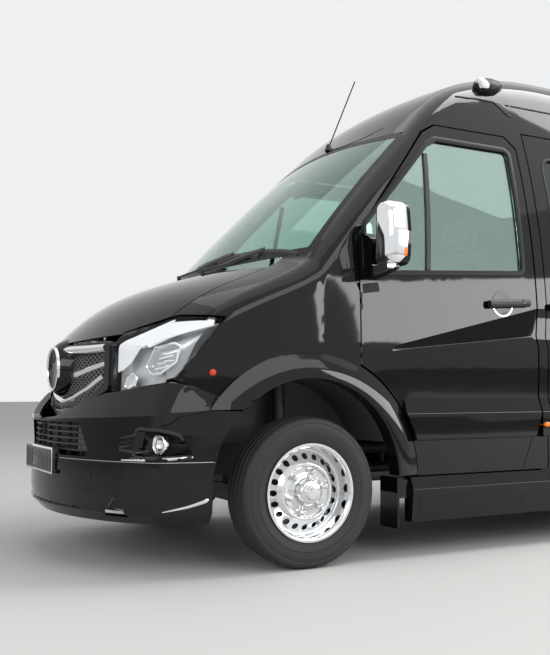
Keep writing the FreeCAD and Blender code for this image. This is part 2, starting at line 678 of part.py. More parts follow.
rear_blank = prism(rear_outline(0, True), "front", BODY_REAR_Y - 60, 5900)
rear_window = prism(rounded([(130, 1430), (700, 1430), (640, 2240), (130, 2240)], 60), "front", 5500, 6000)
rear_door = one(outer.common(rear_blank).cut(inner_wall).cut(rear_window))
nodes["rear_door_left"] = rear_door
nodes["rear_door_right"] = mirrored(rear_door)
fixed, moving = [], []
for z in REAR_HINGE_Z:
    for z0 in (z - 60, z + 25 + SEAT_GAP):
        leaf = box(REAR_AXIS_X, REAR_AXIS_X + 34, REAR_Y - 40, REAR_AXIS_Y + 4, z0, z0 + 35).cut(outer)
        fixed.append(joined([Part.makeCylinder(9, 35, V(REAR_AXIS_X, REAR_AXIS_Y, z0)), leaf]))
    root = box(REAR_AXIS_X - 60, REAR_DOOR_X, REAR_Y - 9, REAR_Y + 6, z - 25 + SEAT_GAP, z + 25).common(rear_blank)
    moving.append(joined([Part.makeCylinder(9, 50 - SEAT_GAP, V(REAR_AXIS_X, REAR_AXIS_Y, z - 25 + SEAT_GAP)), root,
                          box(REAR_AXIS_X - 60, REAR_AXIS_X, REAR_Y + 5, REAR_AXIS_Y + 4, z - 25 + SEAT_GAP, z + 25)]))
rear_door = joined([rear_door] + moving)
nodes["rear_door_left"] = rear_door
nodes["rear_door_right"] = mirrored(rear_door)
nodes["rear_hinges"] = Part.makeCompound(fixed + [mirrored(h) for h in fixed])
pane = prism(grown(rounded([(130, 1430), (700, 1430), (640, 2240), (130, 2240)], 60), -0.5), "front", REAR_Y - 26, REAR_Y - 20)
nodes["rear_glass_left"] = pane
nodes["rear_glass_right"] = mirrored(pane)

lamp_box = box(REAR_DOOR_X + 12 + SEAM, 1000, REAR_Y - 120 + SEAM, REAR_Y + 10, 900 + SEAM, 1450 - SEAM)
tail_lamp = one(outer.common(lamp_box))
nodes["tail_lamps"] = Part.makeCompound([tail_lamp, mirrored(tail_lamp)])
for name in ("body_side_left", "body_side_right"):
    cut = box(REAR_DOOR_X + 12, 1000, REAR_Y - 120, REAR_Y + 10, 900, 1450)
    cut = cut if name == "body_side_left" else mirrored(cut)
    nodes[name] = Part.makeCompound(solids_of(nodes[name].cut(cut), 50000))

rear_bar = rounded([(-985, REAR_CORNER_Y), (-985, TAIL_Y - 90, 90), (-820, TAIL_Y, 200), (820, TAIL_Y, 200),
                    (985, TAIL_Y - 90, 90), (985, REAR_CORNER_Y), (930, REAR_CORNER_Y),
                    (930, REAR_Y - 60), (-930, REAR_Y - 60), (-930, REAR_CORNER_Y)])
bar = prism(rear_bar, "top", 300, REAR_BUMPER_Z)
nodes["rear_bumper"] = bar


# Front bumper, grille and lamps

def bumper_body(inset):
    """The bumper's full form as outlines stacked from its lower lip to the lamps' foot, inset mm inside."""
    wires = []
    for z, half, nose, tilt in BUMPER_LEVELS:
        side, front = half - inset, nose + inset
        wide = side - 92
        corners = [(side, 500), (side, -300), (side - 18, -440, 300), (wide, front + 0.341 * wide, 120),
                   (0, front - 0.304 * wide, 1.557 * wide)]
        plan = rounded(corners + [(-p[0], *p[1:]) for p in reversed(corners[:-1])])
        plan = turn_to(plan, "top")
        plan.translate(V(0, 0, z))
        if tilt:
            plan.rotate(V(0, nose, z), V(1, 0, 0), tilt)
        wires.append(plan)
    return Part.makeLoft(wires, True, True)


upper_edge = rounded([(-1300, 200), (1300, 200), (1300, 742), (950, 742, 60), (880, 884, 60), (540, 826, 60), (232, 712, 120),
                      (0, 696, 900), (-232, 712, 120), (-540, 826, 60), (-880, 884, 60), (-950, 742, 60), (-1300, 742)])
bumper = bumper_body(0).cut(bumper_body(BUMPER_WALL))
bumper = bumper.common(prism(upper_edge, "front", -1300, -200))
bumper = bumper.cut(arch_hole(0, FRONT_ARCH_R)).cut(mirrored(arch_hole(0, FRONT_ARCH_R)))
arch_lip = Part.makeCylinder(FLARE_R + SEAM, 500, V(800, 0, ARCH_Z), V(1, 0, 0)).common(band(-700, 0, 752 - SEAM, 1100, 800))
for cutter in (lamp_gap, wing_gap, arch_lip):
    bumper = bumper.cut(cutter).cut(mirrored(cutter))
intake = prism(rounded([(-545, 532), (545, 532), (462, 688), (-462, 688)], 24), "front", -1300, -500)
fog_outline = rounded([(770, 540, 30), (926, 534, 14), (905, 660, 40), (792, 668, 22)])
fog_hole = prism(fog_outline, "front", -1300, -420)
bumper = bumper.cut(intake).cut(fog_hole).cut(mirrored(fog_hole))
groove = bumper_body(0).cut(bumper_body(7)).common(band(-1300, 500, 512, 521))
hollows = [prism(rounded([(-575, 462), (575, 462), (470, 290), (-470, 290)], 20), "front", -1300, -500)]
hook_slot = prism(rounded([(600, 268), (738, 268), (704, 372)], 8), "front", -1300, -500)
hollows += [hook_slot, mirrored(hook_slot)]
shallow = bumper_body(0).cut(bumper_body(8))
for hollow in hollows:
    bumper = bumper.cut(shallow.common(hollow))
bumper = one(bumper.cut(groove))
nodes["front_bumper"] = bumper

skin_front = outer.cut(hull(40.0)).common(band(-1300, -500, 650, 1200))
ring = prism(grille_outline(0), "front", -1300, -500).cut(prism(grille_outline(-34), "front", -1400, -400))
ring = ring.cut(Part.makeCylinder(98 + SEAT_GAP, 900, V(0, -1300, 948), V(0, 1, 0)))
surround = skin_front.common(ring)
slat_skin = hull(4.0).cut(hull(30.0)).common(prism(grille_outline(-34 - SEAT_GAP), "front", -1300, -500))
slats = [slat_skin.common(band(-1300, -500, z, z + 34)) for z in (795, 885, 975)]
disc = hull(-8.0).cut(hull(30.0)).common(Part.makeCylinder(98, 900, V(0, -1300, 948), V(0, 1, 0)))
nodes["grille"] = one(surround)
nodes["grille_bars"] = joined([one(s) for s in slats] + [one(disc)])
mesh = hull(30.4).cut(hull(36.0)).common(prism(grille_outline(-34 - SEAT_GAP), "front", -1300, -500))
nodes["grille_mesh"] = one(mesh)

lamp_cell = prism(lamp_outline(0), "side", 540, 1300)
lamp = one(outer.cut(hull(75.0)).common(lamp_cell))
nodes["headlamps"] = Part.makeCompound([lamp, mirrored(lamp)])
fog_cell = prism(grown(fog_outline, -SEAM), "front", -1300, -420)
fog = one(bumper_body(22).cut(bumper_body(BUMPER_WALL)).common(fog_cell))
fog = joined([fog, Part.makeCylinder(44, 400, V(862, -900, 598), V(0, 1, 0)).common(bumper_body(7)).common(fog_cell)
              .cut(bumper_body(BUMPER_WALL))])
nodes["fog_lamps"] = Part.makeCompound([fog, mirrored(fog)])


# Chassis and floor

floor = box(-910, 910, 520, REAR_Y - 70, FLOOR_Z - 30, FLOOR_Z).common(hull(WALL + SEAT_GAP))
for side in (-1, 1):
    near, far = (850, 1000) if side > 0 else (-1000, -850)
    floor = floor.cut(box(near, far, 500, DOOR_REAR_Y + 20, 700, 800))
near_slider = box(885, 1000, SLIDER_FRONT_Y - 10, SLIDER_REAR_Y + 10, 700, 800)
floor = floor.cut(near_slider)
for x0 in (-1000, 900 - SEAT_GAP):
    floor = floor.cut(box(x0, x0 + 100 + SEAT_GAP, WHEELBASE - REAR_FLARE_R, WHEELBASE + REAR_FLARE_R, 700, 800))
floor = floor.fuse([box(-545, 545, -140, 520, FLOOR_Z - 30, FLOOR_Z)])
wheelhouse_cut = box(470, 1000, WHEELBASE - 430, WHEELBASE + 430, 600, 900)
floor = floor.cut(wheelhouse_cut).cut(mirrored(wheelhouse_cut))
rails = [box(s * 440 - 40, s * 440 + 40, -850, REAR_Y - 80, FLOOR_Z - 160, FLOOR_Z - 30) for s in (-1, 1)]
cross = [box(-400, 400, y - 40, y + 40, FLOOR_Z - 130, FLOOR_Z - 30) for y in (1250, 2600, 3500, 5150, 5600)]
sills = [box(s * 835 - 35, s * 835 + 35, 640, WHEELBASE - 520, DOOR_SILL_Z - 20, FLOOR_Z - 30) for s in (-1, 1)]
front_cross = box(-480, 480, -840, -800, FLOOR_Z - 220, FLOOR_Z - 30)
inside_bumper = bumper_body(BUMPER_WALL + SEAT_GAP)
brackets = [box(s * 440 - 40, s * 440 + 40, -1100, -840, 560, 680).common(inside_bumper) for s in (-1, 1)]
grille_stay = box(-50, 50, -1000, -800, 708, 738).common(hull(40.0 + SEAT_GAP))
stops = [Part.makeCylinder(14, 600, V(s * 300, -820, 700)).common(hull(PANEL + SEAT_GAP)) for s in (-1, 1)]
nodes["underbody"] = joined([floor] + rails + cross + sills + [front_cross, grille_stay] + brackets + stops)

bulkhead = box(-548, 548, -170, -140, FLOOR_Z - 30, 940).fuse(box(-880, 880, -170, -140, 925, 1376))
posts = [box(850, 880, -140, 262, 925, 1362), box(850, 899, 190, 262, 925, 1030), box(850, 905, 190, 262, 1030, 1362)]
firewall = joined([bulkhead] + posts + [mirrored(p) for p in posts])
for side in (-1, 1):
    firewall = firewall.cut(box(side * NECK_X - 16, side * NECK_X + 16, -180, -130, BONNET_AXIS_Z - NECK_R - 30, 1400))
nodes["firewall"] = one(firewall.common(hull(PANEL + SEAT_GAP)))

house_out = 900 - SEAT_GAP
house = Part.makeCylinder(FRONT_ARCH_R + 14, house_out - 552, V(552, 0, ARCH_Z), V(1, 0, 0))
house = house.cut(Part.makeCylinder(FRONT_ARCH_R + 2, 400, V(560, 0, ARCH_Z), V(1, 0, 0)))
house = house.common(band(-600, 600, 580, 1000)).cut(band(-30, 30, 580, 620, 500, 575))
rear_house = Part.makeCylinder(REAR_ARCH_R + 12, house_out - 476, V(476, WHEELBASE, ARCH_Z), V(1, 0, 0))
house_clear = Part.makeCylinder(REAR_ARCH_R + 12 + SEAT_GAP, 600, V(470, WHEELBASE, ARCH_Z), V(1, 0, 0))
rear_house = rear_house.cut(Part.makeCylinder(REAR_ARCH_R + 1, 500, V(484, WHEELBASE, ARCH_Z), V(1, 0, 0)))
rear_house = rear_house.common(band(3700, 5000, FLOOR_Z + 0.0, 1000))
liners = [house.cut(rails[1]), rear_house]
nodes["wheelhouses"] = Part.makeCompound(liners + [mirrored(h) for h in liners])

engine = box(-260, 260, -700, -200, 420, 1020)
gearbox = box(-130, 130, -200, 560, 380, 640)
nodes["engine"] = joined([engine, gearbox, box(-60, 60, -50, 50, 330, 380)])
nodes["radiator"] = box(-360, 360, -800, -750, 330, 900)

nodes["driveline"] = joined([rod(V(0, 561.5, 500), V(0, 2300, 480), 40), rod(V(0, 2300, 480), V(0, WHEELBASE - 160, AXLE_Z + 20), 36)])
rear_hub = REAR_OUTER_X - 92 - SEAT_GAP
rear_axle = joined([rod(V(-rear_hub, WHEELBASE, AXLE_Z), V(rear_hub, WHEELBASE, AXLE_Z), 62)]
                   + [rod(V(-130, WHEELBASE, AXLE_Z), V(130, WHEELBASE, AXLE_Z), 160)]
                   + [box(s * 440 - 35, s * 440 + 35, 3650, 5050, AXLE_Z + 62, AXLE_Z + 100) for s in (-1, 1)]
                   + [box(s * 440 - 35, s * 440 + 35, WHEELBASE - 50, WHEELBASE + 50, AXLE_Z - 20, AXLE_Z + 70) for s in (-1, 1)]
                   + [box(s * 440 - 25, s * 440 + 25, y - 30, y + 30, AXLE_Z + 90, FLOOR_Z - 160) for s in (-1, 1) for y in (3700, 5000)])
nodes["rear_axle"] = rear_axle
front_axle = joined([box(-420, 420, -60, 60, 240, 330)]
                    + [box(s * 420, s * KINGPIN_X, -28, 28, 225, 250) if s > 0 else box(-KINGPIN_X, -420, -28, 28, 225, 250) for s in (-1, 1)]
                    + [Part.makeCylinder(30, 25, V(s * KINGPIN_X, 0, 225)) for s in (-1, 1)]
                    + [Part.makeCylinder(28, 25, V(s * KINGPIN_X, 0, 462)) for s in (-1, 1)]
                    + [box(min(s * 610, s * KINGPIN_X), max(s * 610, s * KINGPIN_X), -24, 24, 462, 487) for s in (-1, 1)]
                    + [rod(V(s * 640, 0, 470), V(s * 622, 0, 880), 34) for s in (-1, 1)]
                    + [box(s * 440 - 30, s * 440 + 30, -50, 50, 240, FLOOR_Z - 160) for s in (-1, 1)]
                    + [box(min(s * 440, s * 660), max(s * 440, s * 660), -24, 24, 462, 487) for s in (-1, 1)])
nodes["front_axle"] = front_axle

silencer = Part.makeCylinder(95, 700, V(-300, 1900, 340), V(0, 1, 0))
nodes["exhaust"] = joined([rod(V(-300, 300, 340), V(-300, 3900, 340), 34), silencer]
                          + [box(-308, -292, y - 10, y + 10, 340, FLOOR_Z - 130) for y in (1250, 2600, 3500)])
nodes["fuel_tank"] = box(-780, -500, 1500, 2500, 380, FLOOR_Z - 30)


# Wheels

def tyre(x):
    half = TYRE_W / 2
    profile = [(-half + 12, RIM_R), (-half, 250, 20), (-half, 315, 30), (-half + 14, TYRE_R - 4, 14), (-half + 34, TYRE_R),
               (half - 34, TYRE_R), (half - 14, TYRE_R - 4, 14), (half, 315, 30), (half, 250, 20), (half - 12, RIM_R)]
    return turned(profile, V(x, 0, AXLE_Z))


def pierced(rim, x0, x1):
    """Cuts the ring of round ventilation holes through a wheel's face."""
    for k in range(RIM_HOLES):
        a = 2 * math.pi * k / RIM_HOLES
        centre = V(x0, HOLE_PITCH_R * math.sin(a), HOLE_PITCH_R * math.cos(a))
        rim = rim.cut(Part.makeCylinder(RIM_HOLE_R, x1 - x0, centre, V(1, 0, 0)))
    return rim


def nut_covers(radius, low, high):
    """Bullet-shaped covers over the wheel nuts."""
    covers = []
    for k in range(WHEEL_NUTS):
        a = 2 * math.pi * (k + 0.25) / WHEEL_NUTS
        foot = V(low, radius * math.sin(a), radius * math.cos(a))
        profile = [(0, 0.0), (0, NUT_COVER_R), (high - low - 14, NUT_COVER_R, 4), (high - low, 8, 3), (high - low, 0.0)]
        covers.append(turned(profile, foot))
    return covers


def front_rim(x):
    """The steered wheel: its face stands out as a cone with a ridge, a flat for the nuts and a domed hub."""
    half = TYRE_W / 2
    profile = [(-90, RIM_R), (-90, 200), (2, 200), (40, 140), (50, 130), (40, 122), (36, 84), (14, 80), (14, 0.0),
               (112, 0.0), (112, 30, 3), (103, 34, 4), (98, 52, 10), (80, 63, 6), (54, 68), (43, 92), (45, 116, 4),
               (58, 124, 3), (58, 134, 3), (10, 196, 6), (14, 204, 6), (84, 210, 20), (half - 3, 220, 6),
               (half - 3, RIM_R + 10), (half - 7.4, RIM_R + 10), (half - 11.7, RIM_R)]
    solid = pierced(turned(profile, V(0, 0, 0)), -20, 70)
    solid = joined([solid] + nut_covers(97, 38, 80))
    solid.translate(V(x, 0, AXLE_Z))
    return solid


def placed(shape, y):
    shape = shape.copy()
    shape.translate(V(0, y, 0))
    return shape


rim = front_rim(FRONT_WHEEL_X)
rubber = tyre(FRONT_WHEEL_X)
nodes["tyre_front_left"], nodes["tyre_front_right"] = rubber, mirrored(rubber)
nodes["rim_front_left"], nodes["rim_front_right"] = rim, mirrored(rim)

outer_tyre, inner_tyre = placed(tyre(REAR_OUTER_X), WHEELBASE), placed(tyre(REAR_INNER_X), WHEELBASE)
twin = Part.makeCompound([outer_tyre, inner_tyre])
nodes["tyres_rear_left"], nodes["tyres_rear_right"] = twin, mirrored(twin)
half = TYRE_W / 2
o, i = REAR_OUTER_X - 749, REAR_INNER_X - 749
dish = [(i - 90, RIM_R), (i - 90, 200), (o - 36, 200), (o - 76, 140), (o - 80, 110), (o - 92, 90), (o - 92, 0.0),
        (o + 68, 0.0), (o + 66, 27, 3), (o + 59, 34, 3), (o + 56, 54, 8), (o + 36, 67, 8), (o - 54, 76), (o - 57, 92),
        (o - 57, 134, 3), (o - 64, 140, 3), (o - 24, 196, 5), (o - 20, 203, 5), (o + 84, 210, 20),
        (o + half - 3, 220, 6), (o + half - 3, RIM_R + 10), (o + half - 7.4, RIM_R + 10), (o + half - 11.7, RIM_R)]
rear_rim = pierced(turned(dish, V(0, 0, 0)), o - 90, o + 10)
rear_rim = joined([rear_rim] + nut_covers(104, o - 60, o - 18))
rear_rim.translate(V(749, WHEELBASE, AXLE_Z))
nodes["rim_rear_left"], nodes["rim_rear_right"] = rear_rim, mirrored(rear_rim)

hub_face = FRONT_WHEEL_X + 14
knuckle = joined([Part.makeCylinder(30, 462 - 250 - 2 * SEAT_GAP, V(KINGPIN_X, 0, 250 + SEAT_GAP)),
                  Part.makeCylinder(72, hub_face - SEAT_GAP - 780, V(780, 0, AXLE_Z), V(1, 0, 0))])
nodes["knuckle_left"], nodes["knuckle_right"] = knuckle, mirrored(knuckle)


# Cab and saloon fittings

dash_front = -140 + SEAT_GAP
dash_profile = rounded([(dash_front, 800), (60, 780), (240, 860), (300, 1180, 60), (180, 1370, 90), (-60, 1360, 60), (dash_front, 1200)])
dash = prism(dash_profile, "side", -790, 790)
nodes["dashboard"] = one(dash.common(hull(WALL + 6)).cut(band(-600, 600, 700, 925, 545)).cut(band(-600, 600, 700, 925, -1300, -545)))
dash = nodes["dashboard"].cut(nodes["firewall"])
for side in (-1, 1):
    dash = dash.cut(box(side * NECK_X - 13, side * NECK_X + 13, -145, BONNET_AXIS_Y + 38, 1220, 1420))
nodes["dashboard"] = one(dash)

WHEEL_CENTRE = V(-440, 420, 1240)
column_dir = V(0, -0.55, -0.83).normalize()
ring = Part.makeTorus(205, 15, WHEEL_CENTRE, column_dir * -1)
spokes = [rod(WHEEL_CENTRE, WHEEL_CENTRE + V(195 * math.cos(a), -195 * math.sin(a) * column_dir.z, 195 * math.sin(a) * column_dir.y), 12)
          for a in (math.radians(0), math.radians(180), math.radians(270))]
hub = rod(WHEEL_CENTRE + column_dir * -15, WHEEL_CENTRE + column_dir * 90, 50)
column = rod(WHEEL_CENTRE, WHEEL_CENTRE + column_dir * 260, 26)
nodes["steering_wheel"] = joined([ring, hub] + spokes + [column]).cut(nodes["dashboard"])


def bench(width, x, y, base_z, high):
    """A seat on a pedestal: cushion, back and head restraint, facing forward."""
    side = rounded([(y, base_z + 300, 40), (y + 470, base_z + 280), (y + 590, base_z + high, 40), (y + 700, base_z + high, 40),
                    (y + 560, base_z + 180, 30), (y, base_z + 180, 30)])
    body = prism(side, "side", x - width / 2, x + width / 2)
    leg = box(x - width / 2 + 60, x + width / 2 - 60, y + 110, y + 470, base_z, base_z + 190)
    return body.fuse(leg).removeSplitter()


cab = [bench(500, -440, 560, FLOOR_Z, 1060), bench(860, 370, 560, FLOOR_Z, 1060)]
nodes["cab_seats"] = Part.makeCompound(cab)
rows = []
for y in SEAT_ROWS:
    rows += [bench(860, -430, y, FLOOR_Z, 1060)]
    if y > SLIDER_REAR_Y - 200:
        rows += [bench(430, 640, y, FLOOR_Z, 1060)]
rows = [row.cut(house_clear).cut(mirrored(house_clear)) for row in rows]
nodes["saloon_seats"] = Part.makeCompound([one(row) for row in rows])

# Small outside fittings
aerial = joined([Part.makeCone(26, 12, 40, V(0, 670, 2297)), rod(V(0, 675, 2330), V(0, 860, 2760), 4)])
nodes["aerial"] = one(aerial.cut(outer))

SHIFT = V(0, -MID_Y, 0)
os.makedirs("parts", exist_ok=True)
for name, shape in nodes.items():
    shape = shape.copy()
    shape.translate(SHIFT)
    shape.exportStep("parts/" + name + ".step")
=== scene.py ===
import math
import json

import bmesh
import bpy
from mathutils import Matrix, Vector
from mathutils.bvhtree import BVHTree


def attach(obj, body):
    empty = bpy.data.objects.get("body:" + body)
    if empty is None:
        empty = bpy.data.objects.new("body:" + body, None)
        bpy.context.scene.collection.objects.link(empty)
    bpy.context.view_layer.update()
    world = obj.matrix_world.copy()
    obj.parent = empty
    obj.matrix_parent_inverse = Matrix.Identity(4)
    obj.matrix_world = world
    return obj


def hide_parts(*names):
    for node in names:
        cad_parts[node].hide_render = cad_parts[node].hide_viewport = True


# A black high-roof minibus on a plain pale studio floor. Metres; -Y is the vehicle's front,
# +X its left, and the ground is Z = 0. Places in the text are millimetres back from the front axle.

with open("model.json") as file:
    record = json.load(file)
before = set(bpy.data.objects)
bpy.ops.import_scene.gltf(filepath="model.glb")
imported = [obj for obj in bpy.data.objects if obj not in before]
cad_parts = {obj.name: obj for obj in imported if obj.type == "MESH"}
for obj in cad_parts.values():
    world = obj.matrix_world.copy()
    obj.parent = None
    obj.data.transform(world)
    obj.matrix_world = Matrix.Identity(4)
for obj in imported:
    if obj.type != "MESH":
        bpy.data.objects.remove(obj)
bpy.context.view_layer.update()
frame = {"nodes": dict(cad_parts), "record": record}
nodes = frame["nodes"]
body_of = {n: b for b, names in frame["record"]["behaviour"]["bodies"].items() for n in names}
slot_of = {s["node"]: s["material_slot"] for s in frame["record"]["subparts"]}
BODY = "vehicle_body"
FRONT_AXLE = -2.4425
WHEELBASE = 4325
AXLE_Z = 357
WHEEL_X = 872
REAR_WHEEL_X = 868
REAR_INNER_X = 630
MERGE = 0.00005


def mm(x, y, z):
    """A place in the scene from millimetres, with y measured back from the front axle."""
    return Vector((x / 1000, FRONT_AXLE + y / 1000, z / 1000))


def linked(name, data):
    """A new object in the scene."""
    obj = bpy.data.objects.new(name, data)
    bpy.context.scene.collection.objects.link(obj)
    return obj


# Camera: an eye point, turn and lens that bring the photograph's outline into its frame

FRAME_H = 655
EYE = mm(4826, -2176, 844)
TURN, RISE = math.radians(60.78), math.radians(3.8)
LENS_PX = 930.2

aim = Vector((-math.sin(TURN) * math.cos(RISE), math.cos(TURN) * math.cos(RISE), math.sin(RISE)))
camera = linked("camera", bpy.data.cameras.new("camera"))
camera.data.sensor_fit = "AUTO"
camera.data.sensor_width = 36.0
camera.data.lens = LENS_PX / FRAME_H * 36.0
camera.data.shift_x = -0.05
camera.data.clip_end = 200
camera.location = EYE
camera.rotation_mode = "QUATERNION"
camera.rotation_quaternion = aim.to_track_quat("-Z", "Y")
bpy.context.scene.camera = camera


# Shared shader groups and materials

FLOAT, COLOR = "NodeSocketFloat", "NodeSocketColor"


def new_group(name, inputs, outputs):
    """A shader group, its nodes and its two ends; each input is given by its default value."""
    group = bpy.data.node_groups.new(name, "ShaderNodeTree")
    for label, value in inputs.items():
        kind = COLOR if isinstance(value, tuple) else FLOAT
        group.interface.new_socket(name=label, in_out="INPUT", socket_type=kind).default_value = value
    for label, kind in outputs.items():
        group.interface.new_socket(name=label, in_out="OUTPUT", socket_type=kind)
    made = group.nodes
    return group, made, made.new("NodeGroupInput"), made.new("NodeGroupOutput")


def preset(node, values):
    """Gives a node's inputs their values."""
    for label, value in values.items():
        node.inputs[label].default_value = value
    return node


def counted(made, operation):
    """A math node."""
    node = made.new("ShaderNodeMath")
    node.operation = operation
    return node


def wired(tree, *wires):
    """Links sockets, each wire being (from node, its output, to node, its input)."""
    for start, output, end, into in wires:
        tree.links.new(start.outputs[output], end.inputs[into])


def grain_group():
    """Fine uneven surface: a roughness that varies and a height for a bump."""
    group, made, given, out = new_group("fine_grain", {"Scale": 40.0, "Roughness": 0.3, "Spread": 0.1},
                                        {"Roughness": FLOAT, "Height": FLOAT})
    place = made.new("ShaderNodeTexCoord")
    noise = preset(made.new("ShaderNodeTexNoise"), {"Detail": 4})
    centre = preset(counted(made, "SUBTRACT"), {1: 0.5})
    spread = counted(made, "MULTIPLY_ADD")
    wired(group, (place, "Object", noise, "Vector"), (given, "Scale", noise, "Scale"),
          (noise, "Fac", centre, 0), (centre, 0, spread, 0), (given, "Spread", spread, 1),
          (given, "Roughness", spread, 2), (spread, 0, out, "Roughness"), (noise, "Fac", out, "Height"))
    return group


def dust_group():
    """Road dust: a colour that turns paler towards the ground, broken up by noise."""
    inputs = {"Color": (0, 0, 0, 1), "Dust": (0.16, 0.15, 0.13, 1), "Low": 0.1, "High": 0.9, "Amount": 0.05}
    group, made, given, out = new_group("road_dust", inputs, {"Color": COLOR})
    place = made.new("ShaderNodeTexCoord")
    parts = made.new("ShaderNodeSeparateXYZ")
    height = preset(made.new("ShaderNodeMapRange"), {"To Min": 1.0, "To Max": 0.0})
    noise = preset(made.new("ShaderNodeTexNoise"), {"Scale": 9, "Detail": 6})
    broken, amount = counted(made, "MULTIPLY"), counted(made, "MULTIPLY")
    mix = made.new("ShaderNodeMix")
    mix.data_type = "RGBA"
    wired(group, (place, "Object", parts, 0), (place, "Object", noise, "Vector"),
          (parts, "Z", height, "Value"), (given, "Low", height, "From Min"),
          (given, "High", height, "From Max"), (height, 0, broken, 0), (noise, "Fac", broken, 1),
          (broken, 0, amount, 0), (given, "Amount", amount, 1), (amount, 0, mix, "Factor"),
          (given, "Color", mix, "A"), (given, "Dust", mix, "B"), (mix, "Result", out, "Color"))
    return group


GRAIN = grain_group()
DUST = dust_group()
BUMP_DEPTH = 0.002


def finish_of(name, color, rough, metallic=0.0, spread=0.05, scale=40.0, bump=0.0, dust=0.0, ior=1.45,
              transmission=0.0, sheen=0.0):
    """A material with a varied roughness, a fine bump and some road dust low down."""
    mat = bpy.data.materials.new(name)
    mat.use_nodes = True
    made = mat.node_tree.nodes
    shader = preset(made["Principled BSDF"], {"Metallic": metallic, "IOR": ior, "Sheen Weight": sheen,
                                              "Transmission Weight": transmission})
    dirt, grain = made.new("ShaderNodeGroup"), made.new("ShaderNodeGroup")
    dirt.node_tree, grain.node_tree = DUST, GRAIN
    preset(dirt, {"Color": (*color, 1), "Amount": dust})
    preset(grain, {"Scale": scale, "Roughness": rough, "Spread": spread})
    wired(mat.node_tree, (dirt, "Color", shader, "Base Color"), (grain, "Roughness", shader, "Roughness"))
    if bump:
        relief = preset(made.new("ShaderNodeBump"), {"Strength": bump, "Distance": BUMP_DEPTH})
        wired(mat.node_tree, (grain, "Height", relief, "Height"), (relief, "Normal", shader, "Normal"))
    return mat


# Material: its name, colour, roughness, and what differs from the defaults of finish_of
FINISHES = {
    "paint": ("black_paint", (0.003, 0.003, 0.0035), 0.04, dict(spread=0.02, scale=6, dust=0.01, ior=1.42)),
    "gloss_black": ("gloss_black_plastic", (0.003, 0.003, 0.0035), 0.04,
        dict(spread=0.02, scale=12, ior=1.4)),
    "black_plastic": ("grained_black_plastic", (0.018, 0.018, 0.019), 0.45,
        dict(spread=0.15, scale=350, bump=0.25, dust=0.1)),
    "chrome": ("chrome_plate", (0.80, 0.81, 0.82), 0.06, dict(metallic=1.0, spread=0.04, scale=20)),
    "wheel_metal": ("polished_wheel", (0.74, 0.75, 0.76), 0.10,
        dict(metallic=1.0, spread=0.06, scale=30, dust=0.1)),
    "tyre": ("tyre_rubber", (0.013, 0.013, 0.013), 0.6, dict(spread=0.2, scale=120, bump=0.2, dust=0.12)),
    "rubber": ("seal_rubber", (0.004, 0.004, 0.004), 0.4, dict(spread=0.1, scale=200, bump=0.05, ior=1.3)),
    "screen_glass": ("screen_glass", (0.55, 0.80, 0.72), 0.01,
        dict(metallic=0.08, spread=0.0, ior=1.3, transmission=1.0)),
    "side_glass": ("side_glass", (0.62, 0.80, 0.73), 0.01,
        dict(metallic=0.3, spread=0.0, ior=1.3, transmission=1.0)),
    "dark_glass": ("privacy_glass", (0.03, 0.034, 0.034), 0.01, dict(spread=0.0, transmission=0.5)),
    "lamp_glass": ("lamp_lens", (0.96, 0.97, 0.98), 0.01, dict(spread=0.0, ior=1.12, transmission=1.0)),
    "reflector": ("lamp_reflector", (0.90, 0.91, 0.92), 0.12, dict(metallic=1.0, spread=0.02, scale=60)),
    "lamp_band": ("lamp_light_band", (0.93, 0.94, 0.95), 0.18, dict(scale=60)),
    "lamp_tub": ("lamp_housing", (0.62, 0.63, 0.64), 0.22, dict(metallic=0.35, spread=0.0, scale=60)),
    "red_lamp": ("red_lens", (0.40, 0.008, 0.008), 0.10, dict(scale=50)),
    "orange_lamp": ("orange_lens", (0.95, 0.20, 0.008), 0.2, dict(scale=50)),
    "clear_lamp": ("pale_lens", (0.80, 0.80, 0.80), 0.12, dict(scale=50)),
    "red_button": ("red_button", (0.75, 0.06, 0.02), 0.25, dict(scale=90)),
    "dark_steel": ("chassis_steel", (0.05, 0.05, 0.052), 0.5,
        dict(metallic=0.6, spread=0.2, scale=25, bump=0.2, dust=0.35)),
    "cast_metal": ("cast_metal", (0.12, 0.12, 0.12), 0.55,
        dict(metallic=0.7, spread=0.2, scale=60, bump=0.4, dust=0.2)),
    "tank_plastic": ("tank_plastic", (0.03, 0.03, 0.032), 0.5,
        dict(spread=0.15, scale=70, bump=0.2, dust=0.3)),
    "cab_plastic": ("cab_plastic", (0.05, 0.052, 0.056), 0.55, dict(spread=0.15, scale=500, bump=0.2)),
    "seat_fabric": ("seat_cloth", (0.04, 0.044, 0.055), 0.9,
        dict(spread=0.1, scale=700, bump=0.5, sheen=0.3)),
    "floor": ("painted_floor", (0.05, 0.05, 0.052), 0.5, dict(spread=0.1, scale=50, bump=0.1, dust=0.2)),
    "plate": ("bare_plate", (0.05, 0.052, 0.055), 0.35, dict(spread=0.15, scale=120, bump=0.1)),
    "mirror_glass": ("mirror_glass", (0.85, 0.87, 0.88), 0.01, dict(metallic=1.0, spread=0.0)),
}
M = {slot: finish_of(*looks, **more) for slot, (*looks, more) in FINISHES.items()}


# Making pieces

def sharpen(mesh, degrees):
    """Smooth shading, broken at edges that turn by more than the given angle."""
    bm = bmesh.new()
    bm.from_mesh(mesh)
    limit = math.radians(degrees)
    for face in bm.faces:
        face.smooth = True
    for edge in bm.edges:
        edge.smooth = len(edge.link_faces) == 2 and edge.calc_face_angle(0.0) < limit
    bm.to_mesh(mesh)
    bm.free()


